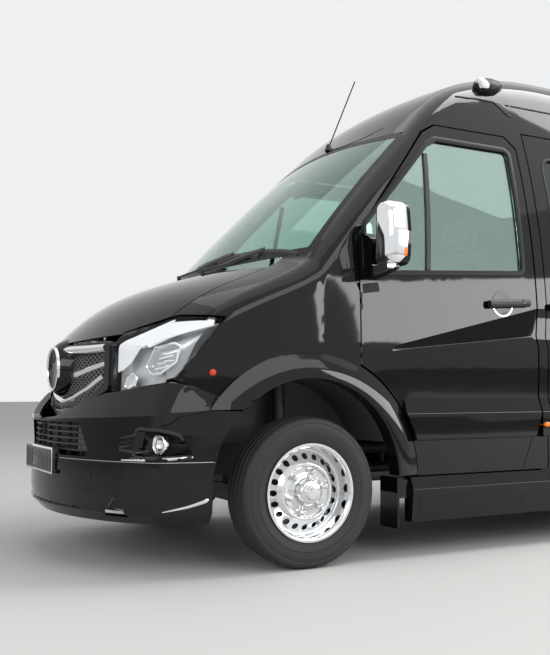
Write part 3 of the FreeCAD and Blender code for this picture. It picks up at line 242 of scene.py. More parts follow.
def show(name, bm, material, body, degrees):
    """Puts a mesh in the scene on a body, with the finish named by its material key."""
    mesh = bpy.data.meshes.new(name)
    bm.to_mesh(mesh)
    sharpen(mesh, degrees)
    mesh.materials.append(M[material])
    obj = linked(name, mesh)
    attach(obj, body)
    return obj


def piece(name, bm, material, body=BODY, degrees=32, twin=None, both=False, outward=True):
    """An object on a body; both mirrors its mesh into the same piece, twin makes a right-hand piece."""
    if both:
        bmesh.ops.mirror(bm, geom=bm.verts[:] + bm.edges[:] + bm.faces[:], merge_dist=0.0, axis="X")
    if outward:
        bmesh.ops.recalc_face_normals(bm, faces=bm.faces)
    made = [show(name, bm, material, body, degrees)]
    if twin:
        bmesh.ops.scale(bm, vec=(-1, 1, 1), verts=bm.verts)
        bmesh.ops.reverse_faces(bm, faces=bm.faces)
        made.append(show(name.replace("left", "right"), bm, material, twin, degrees))
    bm.free()
    return made


def merged(node):
    """A CAD node's mesh with its double vertices merged."""
    bm = bmesh.new()
    bm.from_mesh(nodes[node].data)
    bmesh.ops.remove_doubles(bm, verts=bm.verts, dist=MERGE)
    return bm


def dressed(node, material, degrees=26):
    """A smooth copy of a CAD node, shown in its place."""
    bm = merged(node)
    obj = show(node + "_shown", bm, material, body_of[node], degrees)
    bm.free()
    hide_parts(node)
    return obj


def surface(*names):
    """A search tree over the faces of CAD nodes."""
    verts, faces = [], []
    for name in names:
        mesh = nodes[name].data
        start = len(verts)
        verts += [v.co.copy() for v in mesh.vertices]
        faces += [[start + i for i in p.vertices] for p in mesh.polygons]
    return BVHTree.FromPolygons(verts, faces)


def sight(side, a, b):
    """Where a ray starts and goes, to see a place (a, b) of a flat outline from one side."""
    views = {"left": ((3000, a, b), (-1, 0, 0)), "right": ((-3000, a, b), (1, 0, 0)),
             "front": ((a, -3000, b), (0, 1, 0)), "rear": ((a, 9000, b), (0, -1, 0)),
             "top": ((a, b, 4000), (0, 0, -1))}
    if side in views:
        start, way = views[side]
        return mm(*start), Vector(way)
    turn = math.radians(a)
    way = Vector((-math.sin(turn), math.cos(turn), 0))
    return mm(0, -200, b) - way * 3, way


def laid(outline, side, tree, lift=0.0):
    """Lays a flat outline, in mm, on the skin seen from a side; "round" takes degrees from dead ahead."""
    places, normals = [], []
    for a, b in outline:
        start, way = sight(side, a, b)
        hit, normal, *_ = tree.ray_cast(start, way)
        if hit is None:
            hit, normal, *_ = tree.find_nearest(start + way * 2.05)
        if normal.dot(way) > 0:
            normal = -normal
        places.append(hit + normal * lift / 1000)
        normals.append(normal)
    return places, normals


def rounded(points, radius=0.0, steps=5):
    """Corner points, each with an optional radius of its own, as a finely divided closed outline."""
    out = []
    n = len(points)
    for i, p in enumerate(points):
        r = p[2] if len(p) > 2 else radius
        here, before, after = Vector(p[:2]), Vector(points[i - 1][:2]), Vector(points[(i + 1) % n][:2])
        a, b = (before - here).normalized(), (after - here).normalized()
        half = a.angle(b) / 2
        if r <= 0 or half > math.pi / 2 - 0.02:
            out.append(tuple(here))
            continue
        run = min(r / math.tan(half), 0.49 * min((before - here).length, (after - here).length))
        r = run * math.tan(half)
        middle = here + (a + b).normalized() * r / math.sin(half)
        start, end = here + a * run - middle, here + b * run - middle
        sweep = start.angle_signed(end)
        for k in range(steps + 1):
            out.append(tuple(middle + Matrix.Rotation(-sweep * k / steps, 2) @ start))
    return out


def divided(outline, step, closed=True):
    """Adds points so that no run of the outline is longer than step."""
    out = []
    count = len(outline) if closed else len(outline) - 1
    for i in range(count):
        a, b = Vector(outline[i]), Vector(outline[(i + 1) % len(outline)])
        parts = max(1, math.ceil((b - a).length / step))
        out += [tuple(a.lerp(b, k / parts)) for k in range(parts)]
    return out if closed else out + [tuple(outline[-1])]


def outset(points, by):
    """Moves each side of a corner outline outwards; the corners' own radii grow with it."""
    n = len(points)
    area = sum(points[i - 1][0] * points[i][1] - points[i][0] * points[i - 1][1] for i in range(n))
    turn = 1 if area > 0 else -1
    moved = []
    for i in range(n):
        here, before, after = (Vector(points[j % n][:2]) for j in (i, i - 1, i + 1))
        a, b = (here - before).normalized(), (after - here).normalized()
        na, nb = Vector((a.y, -a.x)) * turn, Vector((b.y, -b.x)) * turn
        out = here + (na + nb) * by / (1 + na.dot(nb))
        moved.append((out.x, out.y, max(points[i][2] + by, 1)) if len(points[i]) > 2 else (out.x, out.y))
    return moved


def ring_edges(bm, verts):
    """The edges round a loop of vertices, made where they are missing."""
    return [bm.edges.get(pair) or bm.edges.new(pair) for pair in zip(verts, verts[1:] + verts[:1])]


def loft_ring(bm, verts, places):
    """Extrudes a loop of vertices to new places and returns the new loop."""
    made = bmesh.ops.extrude_edge_only(bm, edges=ring_edges(bm, verts))["geom"]
    new = [v for v in made if isinstance(v, bmesh.types.BMVert)]
    ring = []
    for v in verts:
        twin = min(new, key=lambda w: (w.co - v.co).length_squared)
        new.remove(twin)
        ring.append(twin)
    for v, p in zip(ring, places):
        v.co = p
    return ring


def loft(bm, rings, start=False, end=True):
    """Joins loops of places one after another, filling the first and the last if wanted."""
    first = last = [bm.verts.new(p) for p in rings[0]]
    if start:
        bm.faces.new(first)
    for places in rings[1:]:
        last = loft_ring(bm, last, places)
    if end:
        bm.faces.new(last)
    return first, last


def shrunk(outline, share):
    """A flat outline drawn smaller about the middle of its points."""
    middle = sum((Vector(p) for p in outline), Vector((0, 0))) / len(outline)
    return [tuple(middle + (Vector(p) - middle) * share) for p in outline]


def run(bm, places, normals, section, closed=True, sizes=None):
    """Draws a section of (across, out) points in mm along a path; across grows away from its middle."""
    count = len(places)
    middle = sum(places, Vector()) / count
    frames = []
    for i in range(count):
        before = places[i - 1] if closed or i else places[0]
        after = places[(i + 1) % count] if closed or i < count - 1 else places[-1]
        along = (after - before).normalized()
        out = normals[i] - along * normals[i].dot(along)
        out = out.normalized() if out.length > 0.1 or not frames else frames[-1][1]
        frames.append((along.cross(out).normalized(), out))
    if closed and sum(f[0].dot(p - middle) for f, p in zip(frames, places)) < 0:
        frames = [(-across, out) for across, out in frames]
    rings = []
    for i, (across, out) in enumerate(frames):
        size = sizes[i] if sizes else 1.0
        rings.append([places[i] + (across * a * size + out * b * size) / 1000 for a, b in section])
    first, last = loft(bm, rings, not closed, not closed)
    if closed:
        bmesh.ops.bridge_loops(bm, edges=ring_edges(bm, last) + ring_edges(bm, first))
    return bm


def tube(bm, points, radius, steps=8, closed=False):
    """A round bar through points in the scene."""
    normals = []
    for i in range(len(points)):
        along = (points[min(i + 1, len(points) - 1)] - points[max(i - 1, 0)]).normalized()
        other = Vector((0, 0, 1)) if abs(along.z) < 0.8 else Vector((1, 0, 0))
        normals.append((other - along * other.dot(along)).normalized())
    section = [(radius * math.cos(2 * math.pi * k / steps),
                radius * math.sin(2 * math.pi * k / steps)) for k in range(steps)]
    return run(bm, points, normals, section, closed)


def thicken(bm, faces, way, thick):
    """Turns a sheet's faces against the line of sight and gives it a wall."""
    if sum((f.normal * f.calc_area() for f in faces), Vector()).dot(way) > 0:
        bmesh.ops.reverse_faces(bm, faces=faces)
    bmesh.ops.solidify(bm, geom=faces, thickness=thick / 1000)


def plate(bm, outline, side, tree, lift, thick, rings=1):
    """A thin filled plate laid on the skin, its face lift mm out and thick mm deep."""
    start = set(bm.faces)
    loft(bm, [laid(shrunk(outline, 1 - k / (rings + 0.6)), side, tree, lift)[0] for k in range(rings + 1)])
    faces = [f for f in bm.faces if f not in start]
    bmesh.ops.recalc_face_normals(bm, faces=faces)
    thicken(bm, faces, sight(side, *outline[0][:2])[1], thick)
    return bm


def mound(bm, outline, side, tree, levels):
    """A low closed boss on the skin, its outline drawn at each (size, lift) level."""
    loft(bm, [laid(shrunk(outline, size), side, tree, lift)[0] for size, lift in levels], True)
    return bm


def turned(bm, profile, centre, axis, steps=48, closed=False):
    """Spins a profile of (along, radius) points in mm round an axis."""
    axis = Vector(axis).normalized()
    side = axis.orthogonal().normalized()
    verts = [bm.verts.new(centre + (axis * a + side * r) / 1000) for a, r in profile]
    edges = [bm.edges.new(pair) for pair in zip(verts, verts[1:])]
    if closed:
        edges.append(bm.edges.new((verts[-1], verts[0])))
    before = set(bm.faces)
    bmesh.ops.spin(bm, geom=verts + edges, cent=centre, axis=axis, angle=2 * math.pi, steps=steps,
                   use_merge=True)
    made = {v for f in bm.faces if f not in before for v in f.verts}
    bmesh.ops.remove_doubles(bm, verts=list(made), dist=0.00002)
    return bm


def block(bm, low, high, bevel, segments=2):
    """A box between two corners in mm, with rounded edges."""
    a, b = mm(*low), mm(*high)
    matrix = Matrix.Translation((a + b) / 2) @ Matrix.Diagonal((*(b - a), 1))
    made = bmesh.ops.create_cube(bm, size=1.0, matrix=matrix)["verts"]
    edges = list({e for v in made for e in v.link_edges})
    bmesh.ops.bevel(bm, geom=edges, offset=bevel / 1000, segments=segments, profile=0.5, affect="EDGES",
                    material=-1)
    return bm


def shaped(name, material, form, *how, **looks):
    """A piece of a single form, such as a strip or a plate."""
    return piece(name, form(bmesh.new(), *how), material, **looks)


def mirrored(*half):
    """A section from its left half, which may end on the middle."""
    return [*half, *((-a, b) for a, b in reversed(half) if a)]


def rect(a0, b0, a1, b1):
    """A rectangle from two opposite corners."""
    return [(a0, b0), (a1, b0), (a1, b1), (a0, b1)]


def arc(a, b, radius, first=0, last=36):
    """Points ten degrees apart on a circle in a flat outline."""
    return [(a + radius * math.sin(k * math.pi / 18), b + radius * math.cos(k * math.pi / 18))
            for k in range(first, last)]


# CAD nodes, shown with their finishes

DARK = ("saloon_glass", "rear_glass_left", "rear_glass_right")
OWN_SHAPE = ("headlamps", "fog_lamps", "cab_seats", "saloon_seats", "grille_bars",
             "tyre_front_left", "tyre_front_right", "tyres_rear_left", "tyres_rear_right")
for node in nodes:
    if node not in OWN_SHAPE:
        dressed(node, "dark_glass" if node in DARK else slot_of[node])

UP, AHEAD = Vector((0, 0, 1)), Vector((0, -1, 0))


# Wheels: grooved tyres over the rims

front_hub = mm(WHEEL_X, 0, AXLE_Z)
rear_hub = mm(REAR_WHEEL_X, WHEELBASE, AXLE_Z)
TREAD_R, TREAD_BLOCKS = 357, 72
TREAD_GROOVES = (-58, -20, 20, 58)
GROOVE = mirrored((-5.5, 0), (-4.5, -1), (-3.5, -7))
BLOCK_TURN, BLOCK_RISE = 0.011, 0.0016


def tyre(bm, centre):
    """A whole tyre: grooved tread, round shoulders, ringed walls and bead."""
    edges = [(mid + a, d) for mid in TREAD_GROOVES for a, d in GROOVE]
    tread = [(a, TREAD_R - 0.5 - abs(a) ** 3 * 3.4e-6 + d) for a, d in edges]
    wall = [(84, 351), (93, 346), (98, 338), (100, 328), (99, 324), (102, 318), (102.4, 300), (102.2, 283),
            (100, 281), (100, 277), (101.5, 275), (98, 256), (94, 242), (91, 236), (91, 232), (86, 228),
            (80, 224), (76, 222)]
    turned(bm, [(-a, r) for a, r in reversed(wall)] + tread + wall, centre, (1, 0, 0), TREAD_BLOCKS * 2)


def shoulder_blocks(bm, centre):
    """Thin raised blocks along both shoulders."""
    for side in (-1, 1):
        for k in range(TREAD_BLOCKS):
            turn = 2 * math.pi * k / TREAD_BLOCKS
            points = []
            for a, r in ((74, 354.8), (90, 347.0), (98, 336.5)):
                for angle in (turn - BLOCK_TURN, turn + BLOCK_TURN):
                    points.append(Vector((side * a, r * math.sin(angle), r * math.cos(angle))))
            verts = [bm.verts.new(centre + points[i] / 1000) for i in (0, 1, 3, 5, 4, 2)]
            quad = [bm.faces.new([verts[i] for i in corners]) for corners in ((0, 1, 2, 5), (5, 2, 3, 4))]
            made = bmesh.ops.extrude_face_region(bm, geom=quad)["geom"]
            for v in made:
                if isinstance(v, bmesh.types.BMVert):
                    out = v.co - centre
                    v.co += Vector((side * 0.25, out.y, out.z)).normalized() * BLOCK_RISE


def wheel_tyres(name, centres, body, twin, *shown_for):
    """The tyres of one left-hand body and their right-hand twins, in place of their CAD nodes."""
    bm, blocks = bmesh.new(), bmesh.new()
    for centre in centres:
        tyre(bm, centre)
        shoulder_blocks(blocks, centre)
    for obj, node in zip(piece(name, bm, "tyre", body, 38, twin), shown_for):
        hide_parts(node)
    piece(name.replace("tyre", "shoulder_blocks"), blocks, "tyre", body, 30, twin)


wheel_tyres("tyre_grooved_front_left", [front_hub], "front_wheel_left", "front_wheel_right",
            "tyre_front_left", "tyre_front_right")
wheel_tyres("tyre_grooved_rear_left", [rear_hub, mm(REAR_INNER_X, WHEELBASE, AXLE_Z)], "rear_wheels_left",
            "rear_wheels_right", "tyres_rear_left", "tyres_rear_right")


# Headlamps: clear shell, tub, light band, bowls, fins, ends

def faces_out(face):
    """Whether a face of a headlamp looks out of the vehicle's corner."""
    side = 1 if face.calc_center_median().x > 0 else -1
    return face.normal.dot(Vector((side * 0.72, -0.68, 0.15))) > 0.30


def lamp_part(name, material, lift=0.0, thick=0.0):
    """The headlamps' outward faces, moved along their normals, with a wall if wanted."""
    bm = merged("headlamps")
    bmesh.ops.delete(bm, geom=[f for f in bm.faces if not faces_out(f)], context="FACES")
    for v in bm.verts:
        v.co += v.normal * lift / 1000
    if thick:
        bmesh.ops.solidify(bm, geom=bm.faces[:], thickness=thick / 1000)
    return piece(name, bm, material, degrees=30, outward=False)


LENS_WALL, TUB_BACK, BOWL_LIFT = 3.5, -60.0, -20
lens = lamp_part("headlamp_lenses", "lamp_glass", thick=LENS_WALL)[0]
lamp_part("headlamp_tubs", "lamp_tub", TUB_BACK)
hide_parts("headlamps")
lamp_skin = surface("headlamps")

BAND_LOW = [(566, 930), (602, 942), (648, 975), (690, 1036), (724, 1064), (800, 1096), (862, 1124),
            (905, 1146)]
BAND_HIGH = [(560, 1040), (580, 1078), (605, 1092), (640, 1112), (700, 1152), (742, 1186), (840, 1181),
             (900, 1168)]
BOWL = [(726, 951), (766, 1036, 16), (832, 1064, 22), (856, 1040, 22), (848, 968, 22), (817, 919, 20),
        (758, 908, 20)]
SMALL = [(607, 854, 12), (622, 903, 16), (650, 918, 18), (680, 897, 16), (671, 859, 12), (640, 846, 16)]


def dish(bm, outline, side, tree, lift, deep, sections=7, closing=0.12):
    """A hollow bowl behind an outline on the skin: its rim on the skin, its floor deep mm behind."""
    places, normals = laid(outline, side, tree, lift)
    middle = sum(places, Vector()) / len(places)
    normal = sum(normals, Vector()).normalized()
    rings = [places]
    for k in range(1, sections + 1):
        share = k / sections
        size = (1 - closing) * math.sqrt(max(0.0, 1 - share ** 2)) + closing
        rings.append([middle + (p - middle) * size - normal * deep * share / 1000 for p in places])
    loft(bm, rings)
    return bm


def strip(bm, outline, side, tree, section, lift=0.0, closed=True, step=20):
    """A run of a small section along an outline on the skin."""
    places, normals = laid(divided(outline, step, closed), side, tree, lift)
    return run(bm, places, normals, section, closed)


def along(line, share):
    """The point at a share of a polyline's length."""
    points = [Vector(p) for p in line]
    sizes = [(q - p).length for p, q in zip(points, points[1:])]
    rest = share * sum(sizes)
    for p, q, size in zip(points, points[1:], sizes):
        if rest <= size:
            return p.lerp(q, rest / size)
        rest -= size
    return points[-1]


def ribbon(bm, low, high, side, tree, lift, thick, steps=(40, 5)):
    """A thin sheet on the skin between two lines drawn on it."""
    made = bmesh.ops.create_grid(bm, x_segments=steps[0], y_segments=steps[1], size=1.0)["verts"]
    for v in made:
        share, across = (v.co.x + 1) / 2, (v.co.y + 1) / 2
        v.co = laid([tuple(along(low, share).lerp(along(high, share), across))], side, tree, lift)[0][0]
    faces = list({f for v in made for f in v.link_faces})
    thicken(bm, faces, sight(side, *low[0])[1], thick)
    return bm


shaped("headlamp_light_bands", "lamp_band", ribbon, BAND_LOW, BAND_HIGH, "front", lamp_skin, -12, 7,
       both=True)

bowl_line = divided(rounded(BOWL, 18, 4), 14)
small_line = divided(rounded(SMALL, 12, 4), 10)
shaped("headlamp_bowls", "reflector", dish, bowl_line, "front", lamp_skin, BOWL_LIFT, 62, both=True,
       outward=False)
shaped("headlamp_small_bowls", "lamp_band", dish, small_line, "front", lamp_skin, BOWL_LIFT, 30, both=True,
       outward=False)

RIM_SECTION = mirrored((-5, -6), (-5, 3), (0, 6))
bm = strip(bmesh.new(), bowl_line, "front", lamp_skin, RIM_SECTION, BOWL_LIFT)
strip(bm, small_line, "front", lamp_skin, RIM_SECTION, BOWL_LIFT)
piece("headlamp_bowl_rims", bm, "reflector", both=True)

bm = bmesh.new()
for z in (938, 962, 986, 1010):
    line = [(756 + (z - 938) * 0.35, z), (842, z + 14)]
    strip(bm, line, "front", lamp_skin, mirrored((-2.5, -3), (-2.5, 2)), -46, False)
piece("headlamp_bowl_fins", bm, "lamp_band", both=True)

shaped("headlamp_ends", "cab_plastic", ribbon, [(-602, 944), (-560, 1046), (-512, 1124), (-462, 1142)],
       [(-606, 950), (-528, 1046), (-468, 1122), (-450, 1146)], "left", lamp_skin, -14, 5, (24, 3), both=True)


# Grille: honeycomb, slats, plain disc

mesh_skin = surface("grille_mesh")
nose_skin = surface("grille", "grille_mesh", "headlamps", "wing_left", "bonnet")
GRILLE_FIELD = [(-468, 1046), (0, 1030), (468, 1046), (486, 866), (228, 756), (0, 742), (-228, 756),
                (-486, 866)]
MESH_PITCH = 24.0
DISC_Z, DISC_CLEAR = 948, 120


def inside(point, outline):
    """Whether a point lies inside a flat closed outline."""
    x, z = point
    hit = False
    for (x0, z0), (x1, z1) in zip(outline, outline[1:] + outline[:1]):
        if (z0 > z) != (z1 > z) and x < x0 + (x1 - x0) * (z - z0) / (z1 - z0):
            hit = not hit
    return hit


bm = bmesh.new()
WIRE_SECTION = mirrored((-4.2, -3), (-4.2, 3))
for slope in (-0.62, 0.62):
    for k in range(-34, 35):
        line = [(x, 890 + k * MESH_PITCH + slope * x) for x in range(-490, 491, 14)]
        stretch = []
        for p in line + [None]:
            if p and inside(p, GRILLE_FIELD) and math.hypot(p[0], p[1] - DISC_Z) > DISC_CLEAR:
                stretch.append(p)
                continue
            if len(stretch) > 1:
                run(bm, *laid(stretch, "front", mesh_skin, 8), WIRE_SECTION, False)
            stretch = []
piece("grille_honeycomb", bm, "cast_metal")

SLAT_SECTION = [(-22, -18), (-23, -4), (-14, 10), (-4, 15), (8, 12), (20, 2), (23, -6), (20, -18)]
SLATS = [[(40, 1036), (200, 1036), (340, 1038), (482, 1042)], [(88, 908), (200, 922), (330, 946), (466, 972)],
         [(0, 777), (70, 785), (180, 806), (320, 850), (440, 908)]]
bm = bmesh.new()
for line in SLATS:
    line = divided(line, 24, False)
    sizes = [1.12 - 0.3 * i / (len(line) - 1) for i in range(len(line))]
    run(bm, *laid(line, "front", nose_skin, 6), SLAT_SECTION, False, sizes)
slats = piece("grille_slats", bm, "chrome", both=True)[0]
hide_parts("grille_bars")
disc_at = laid([(0, DISC_Z)], "front", surface("grille_bars"))[0][0] + AHEAD * 0.030
shaped("grille_ring", "chrome", turned, [(-6, 101), (0, 100), (5, 103), (7, 108), (4, 114), (-6, 116)],
       disc_at, AHEAD, 64, True)
shaped("grille_disc", "gloss_black", turned, [(-80, 158), (-52, 148), (-26, 134), (-8, 119), (-6, 112),
        (-6, 101), (-9, 96), (-14, 80), (-16, 0)], disc_at, AHEAD, 64)


# Front bumper: groove line, crescents, fog pods, intake, hook slots, lower panel, number plate

bumper_skin = surface("front_bumper")
LINE = mirrored((-3.5, -4), (-3.5, 2), (-1.5, 3.5))
shaped("bumper_line", "chrome", run, *laid([(a, 516.5) for a in range(-79, 80, 2)], "round", bumper_skin),
       LINE, False)

CRESCENT = [(79.4, 512), (79.0, 480), (77.6, 437), (75.2, 396), (71.9, 349), (66.5, 320), (60.1, 300)]
SPEAR = [(48.3, 525), (55, 528), (62, 534), (67.6, 541)]
fine = []
for (a0, z0), (a1, z1) in zip(CRESCENT, CRESCENT[1:]):
    fine += [(a0 + (a1 - a0) * k / 6, z0 + (z1 - z0) * k / 6) for k in range(6)]
fine.append(CRESCENT[-1])
places, normals = laid(fine, "round", bumper_skin)
for _ in range(3):
    middles = [(a + b * 2 + c) / 4 for a, b, c in zip(places, places[1:], places[2:])]
    places = [places[0], *middles, places[-1]]
sizes = [0.25 + 0.95 * math.sin(math.pi * min(1, i / (len(fine) - 1))) ** 0.8 for i in range(len(fine))]
bm = run(bmesh.new(), places, normals, mirrored((-9, -3), (-7, 2), (-2, 4)), False, sizes)
run(bm, *laid(SPEAR, "round", bumper_skin), mirrored((-6, -3), (-5, 3), (0, 5)), False, [0.5, 1.0, 1.2, 0.6])
piece("bumper_crescents", bm, "chrome", both=True)

POD = [(770, 540, 30), (926, 534, 14), (905, 660, 40), (792, 668, 22)]
pod_line = divided(rounded(POD), 12)
pod = shaped("fog_pods", "black_plastic", dish, pod_line, "front", bumper_skin, -6, 46, 6, 0.5, both=True,
             outward=False)[0]
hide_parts("fog_lamps")
shaped("fog_pod_rims", "black_plastic", strip, pod_line, "front", bumper_skin,
       mirrored((-7, -6), (-7, 1), (-3, 4)), both=True)
fog_at = mm(858, -716, 598)
fog_way = Vector((0.25, -1, 0))
bm = turned(bmesh.new(), [(-30, 40), (-8, 46), (2, 47), (5, 44), (3, 41), (-6, 40), (-28, 34)], fog_at,
            fog_way, 40, closed=True)
turned(bm, [(-4, 41), (-14, 38), (-24, 30), (-30, 16), (-32, 0)], fog_at, fog_way, 40)
piece("fog_lamp_reflectors", bm, "reflector", both=True, outward=False)
shaped("fog_lamp_lenses", "lamp_glass", turned, [(-3, 41), (3, 34), (7, 20), (8, 0), (4, 0), (3, 20),
        (-1, 33), (-6, 41)], fog_at, fog_way, 40, both=True)


MOUTH_LOW, MOUTH_HIGH = 524, 700


def mouth(x, z, deep):
    """A place deep mm behind the bumper's face, carried across the open intake between its edges."""
    low, high = laid([(x, MOUTH_LOW), (x, MOUTH_HIGH)], "front", bumper_skin)[0]
    return low.lerp(high, (z - MOUTH_LOW) / (MOUTH_HIGH - MOUTH_LOW)) - AHEAD * deep / 1000


def mouth_half(z, floor_half):
    """Half the intake's width at a height; it narrows upwards."""
    return floor_half - (z - 532) * 0.53


bm = bmesh.new()
grid = bmesh.ops.create_grid(bm, x_segments=24, y_segments=4, size=1.0)["verts"]
for v in grid:
    z = 611 + 82 * v.co.y
    v.co = mouth(v.co.x * mouth_half(z, 556), z, 74)
bmesh.ops.solidify(bm, geom=bm.faces[:], thickness=0.004)
piece("intake_back", bm, "rubber")
bm = bmesh.new()
for z in (556, 584, 612, 640, 668):
    points = [mouth(mouth_half(z, 546) * k / 12, z, 40) for k in range(-12, 13)]
    run(bm, points, [AHEAD] * len(points), mirrored((-4, -12), (-4, 10)), False)
for x in range(-420, 421, 120):
    points = [mouth(x, z, 46) for z in (534, 610, 686)]
    run(bm, points, [AHEAD] * len(points), mirrored((-3, -12), (-3, 8)), False)
piece("intake_louvres", bm, "black_plastic")

shaped("hook_slot_bars", "chrome", plate, [(628, 286), (728, 286), (732, 300), (632, 300)], "front",
       bumper_skin, 10, 12, both=True)
shaped("lower_panel_edge", "gloss_black", strip, rounded([(-575, 462), (575, 462), (470, 290), (-470, 290)],
        20), "front", bumper_skin, mirrored((-3, -2), (-3, 1.5)))

PLATE_Y, PLATE_HALF = -1046, 260
shaped("plate_holder", "black_plastic", block, (-PLATE_HALF - 2, PLATE_Y + 4, 440),
       (PLATE_HALF + 2, PLATE_Y + 40, 556), 3)
shaped("plate_frame", "wheel_metal", block, (-PLATE_HALF - 8, PLATE_Y, 434),
       (PLATE_HALF + 8, PLATE_Y + 5, 562), 2)
bm = block(bmesh.new(), (-PLATE_HALF + 2, PLATE_Y - 3, 444), (PLATE_HALF - 2, PLATE_Y + 3, 552), 2)
for x in range(-240, 241, 40):
    block(bm, (x - 5, PLATE_Y - 5, 450), (x + 5, PLATE_Y, 546), 1.5)
piece("plate_blank", bm, "plate")


# Cab doors: window seal, quarter bar, handle, keyhole, hinge cover

ON_DOORS = {"body": "cab_door_left", "twin": "cab_door_right"}
DOOR_WINDOW = [(330, 1432), (1352, 1492), (1368, 2195), (860, 2195), (800, 2160), (338, 1668)]
shaped("window_seal_left", "rubber", strip, rounded([(p[0], p[1], 40) for p in outset(DOOR_WINDOW, 10)]),
       "left", surface("cab_door_left"), mirrored((-16, -4), (-15, 1), (-8, 3.5)), **ON_DOORS)
glass_skin = surface("door_glass_left")
shaped("quarter_bar_left", "black_plastic", strip, [(716, 1462), (781, 2108)], "left", glass_skin,
       mirrored((-15, 0), (-15, 6), (-11, 9)), 0, False, **ON_DOORS)

side_skin = surface("cab_door_left", "body_side_left", "sliding_door", "wing_left", "cab_frame")
BOWL_LEVELS = [(1, -2), (1, 2.4), (0.93, 2.6), (0.8, 1.4), (0.5, 0.8)]
GRIP = mirrored((-17, -18), (-21, -10), (-21, 0), (-14, 8), (0, 12))
GRIP_LIFT = 24


def handle(bowl, bar, at, radius, line, side, tree, body=BODY, twin=None, rim=None):
    """A round bowl in a door's skin, the rim of its lower half if wanted, and the bar across it."""
    piece(bowl, mound(bmesh.new(), arc(*at, radius), side, tree, BOWL_LEVELS), "gloss_black", body, twin=twin)
    if rim:
        bm = strip(bmesh.new(), arc(*at, radius, 8, 29), side, tree, mirrored((-3, -1), (-3, 2)), 1, False)
        piece(rim, bm, "chrome", body, twin=twin)
    piece(bar, strip(bmesh.new(), line, side, tree, GRIP, GRIP_LIFT, False, 30), "black_plastic", body, 50,
          twin)


handle("handle_bowl_left", "handle_bar_left", (1192, 1307), 69,
       [(1088, 1297), (1110, 1299), (1200, 1305), (1300, 1311), (1345, 1314), (1368, 1315)],
       "left", side_skin, "cab_door_left", "cab_door_right", "handle_bowl_rim_left")
key_at = laid([(1322, 1318)], "left", side_skin, 33)[0][0]
shaped("keyhole_left", "gloss_black", turned, [(-6, 15), (2, 15), (4, 13), (4, 9), (1, 7), (1, 0)], key_at,
       (1, 0, 0), 24, **ON_DOORS)
PATCH = [(300, 1366, 6), (392, 1379, 6), (399, 1332, 6), (302, 1318, 6)]
shaped("hinge_cover_left", "rubber", plate, rounded(PATCH), "left", side_skin, 2, 4, **ON_DOORS)


# Mirrors: silver cover, glasses, repeater

COVER_LIFT, COVER_WALL = 0.0016, 0.0014
bm = merged("mirror_left")
for place, way in ((mm(1035, 0, 0), (-1, 0, 0)), (mm(0, 402, 0), (0, 1, 0)),
                   (mm(1180, 352, 1432), (0, 1.25, -1))):
    bmesh.ops.bisect_plane(bm, geom=bm.verts[:] + bm.edges[:] + bm.faces[:], dist=1e-6, plane_co=place,
                           plane_no=way, clear_outer=True)
for v in bm.verts:
    v.co += v.normal * COVER_LIFT
bmesh.ops.solidify(bm, geom=bm.faces[:], thickness=COVER_WALL)
piece("mirror_cover_left", bm, "chrome", "cab_door_left", 40, "cab_door_right")
mirror_skin = surface("mirror_left")
bm = plate(bmesh.new(), rounded([(1052, 1558, 8), (1188, 1558, 8), (1188, 1610, 60), (1170, 1740, 60),
                                 (1060, 1747, 40)]), "rear", mirror_skin, 2, 2)
plate(bm, rounded([(1052, 1458, 20), (1178, 1463, 35), (1187, 1546, 8), (1052, 1546, 8)]), "rear",
      mirror_skin, 2, 2)
piece("mirror_glass_left", bm, "mirror_glass", **ON_DOORS)
shaped("mirror_repeater_left", "orange_lamp", plate, rounded([(382, 1482), (402, 1482), (404, 1522),
        (386, 1528)], 7), "left", mirror_skin, 2.4, 3, **ON_DOORS)


# Windscreen border, roof markers, roof drip, side button and lamps, step panel

SCREEN = [(-868, 1516, 40), (-434, 1492), (0, 1484), (434, 1492), (868, 1516, 40), (772, 2236, 60),
          (386, 2266), (0, 2278), (-386, 2266), (-772, 2236, 60)]
shaped("windscreen_border", "rubber", strip, rounded(outset(SCREEN, -19)), "front", surface("windscreen"),
       mirrored((-22, -1), (-21, 1.2)), 0.0, True, 30)

cap_skin = surface("roof_cap")
MARKER = [(624, 1286), (654, 1278), (684, 1288), (690, 1350), (682, 1414), (662, 1466), (648, 1466),
          (622, 1408), (618, 1340)]
shaped("roof_marker_housings", "rubber", mound, divided(MARKER, 20), "top", cap_skin,
       [(1, -8), (1, 12), (0.93, 30), (0.72, 46), (0.35, 52)], degrees=60, both=True)
shaped("roof_marker_lenses", "clear_lamp", mound, divided(rounded([(626, 1286), (682, 1286), (684, 1346),
        (624, 1346)], 14), 20), "top", cap_skin, [(1, 14), (1.0, 34), (0.88, 48), (0.5, 55)], degrees=60,
       both=True)

DRIP = mirrored((-5, -2), (-5, 3), (0, 5))
for side in ("left", "right"):
    skin = surface("roof_cap", "roof_panel", "body_side_" + side)
    bm = bmesh.new()
    for start, end in ((1090, 1470), (1492, 5620)):
        line = [(start + (end - start) * k / 60, 2506) for k in range(61)]
        strip(bm, line, side, skin, DRIP, 0, False, 100)
    piece("roof_drip_" + side, bm, "rubber")

low_skin = surface("body_side_left", "side_skirts", "cab_door_left", "wing_left", "front_bumper",
                   "sliding_door")

at, normal, *_ = low_skin.find_nearest(mm(908.5, -480.7, 921))
shaped("side_buttons", "red_button", turned, [(-5, 15), (2, 15), (4, 13), (4, 9), (8, 8), (9, 6), (9, 0)], at,
       normal, 24, both=True)

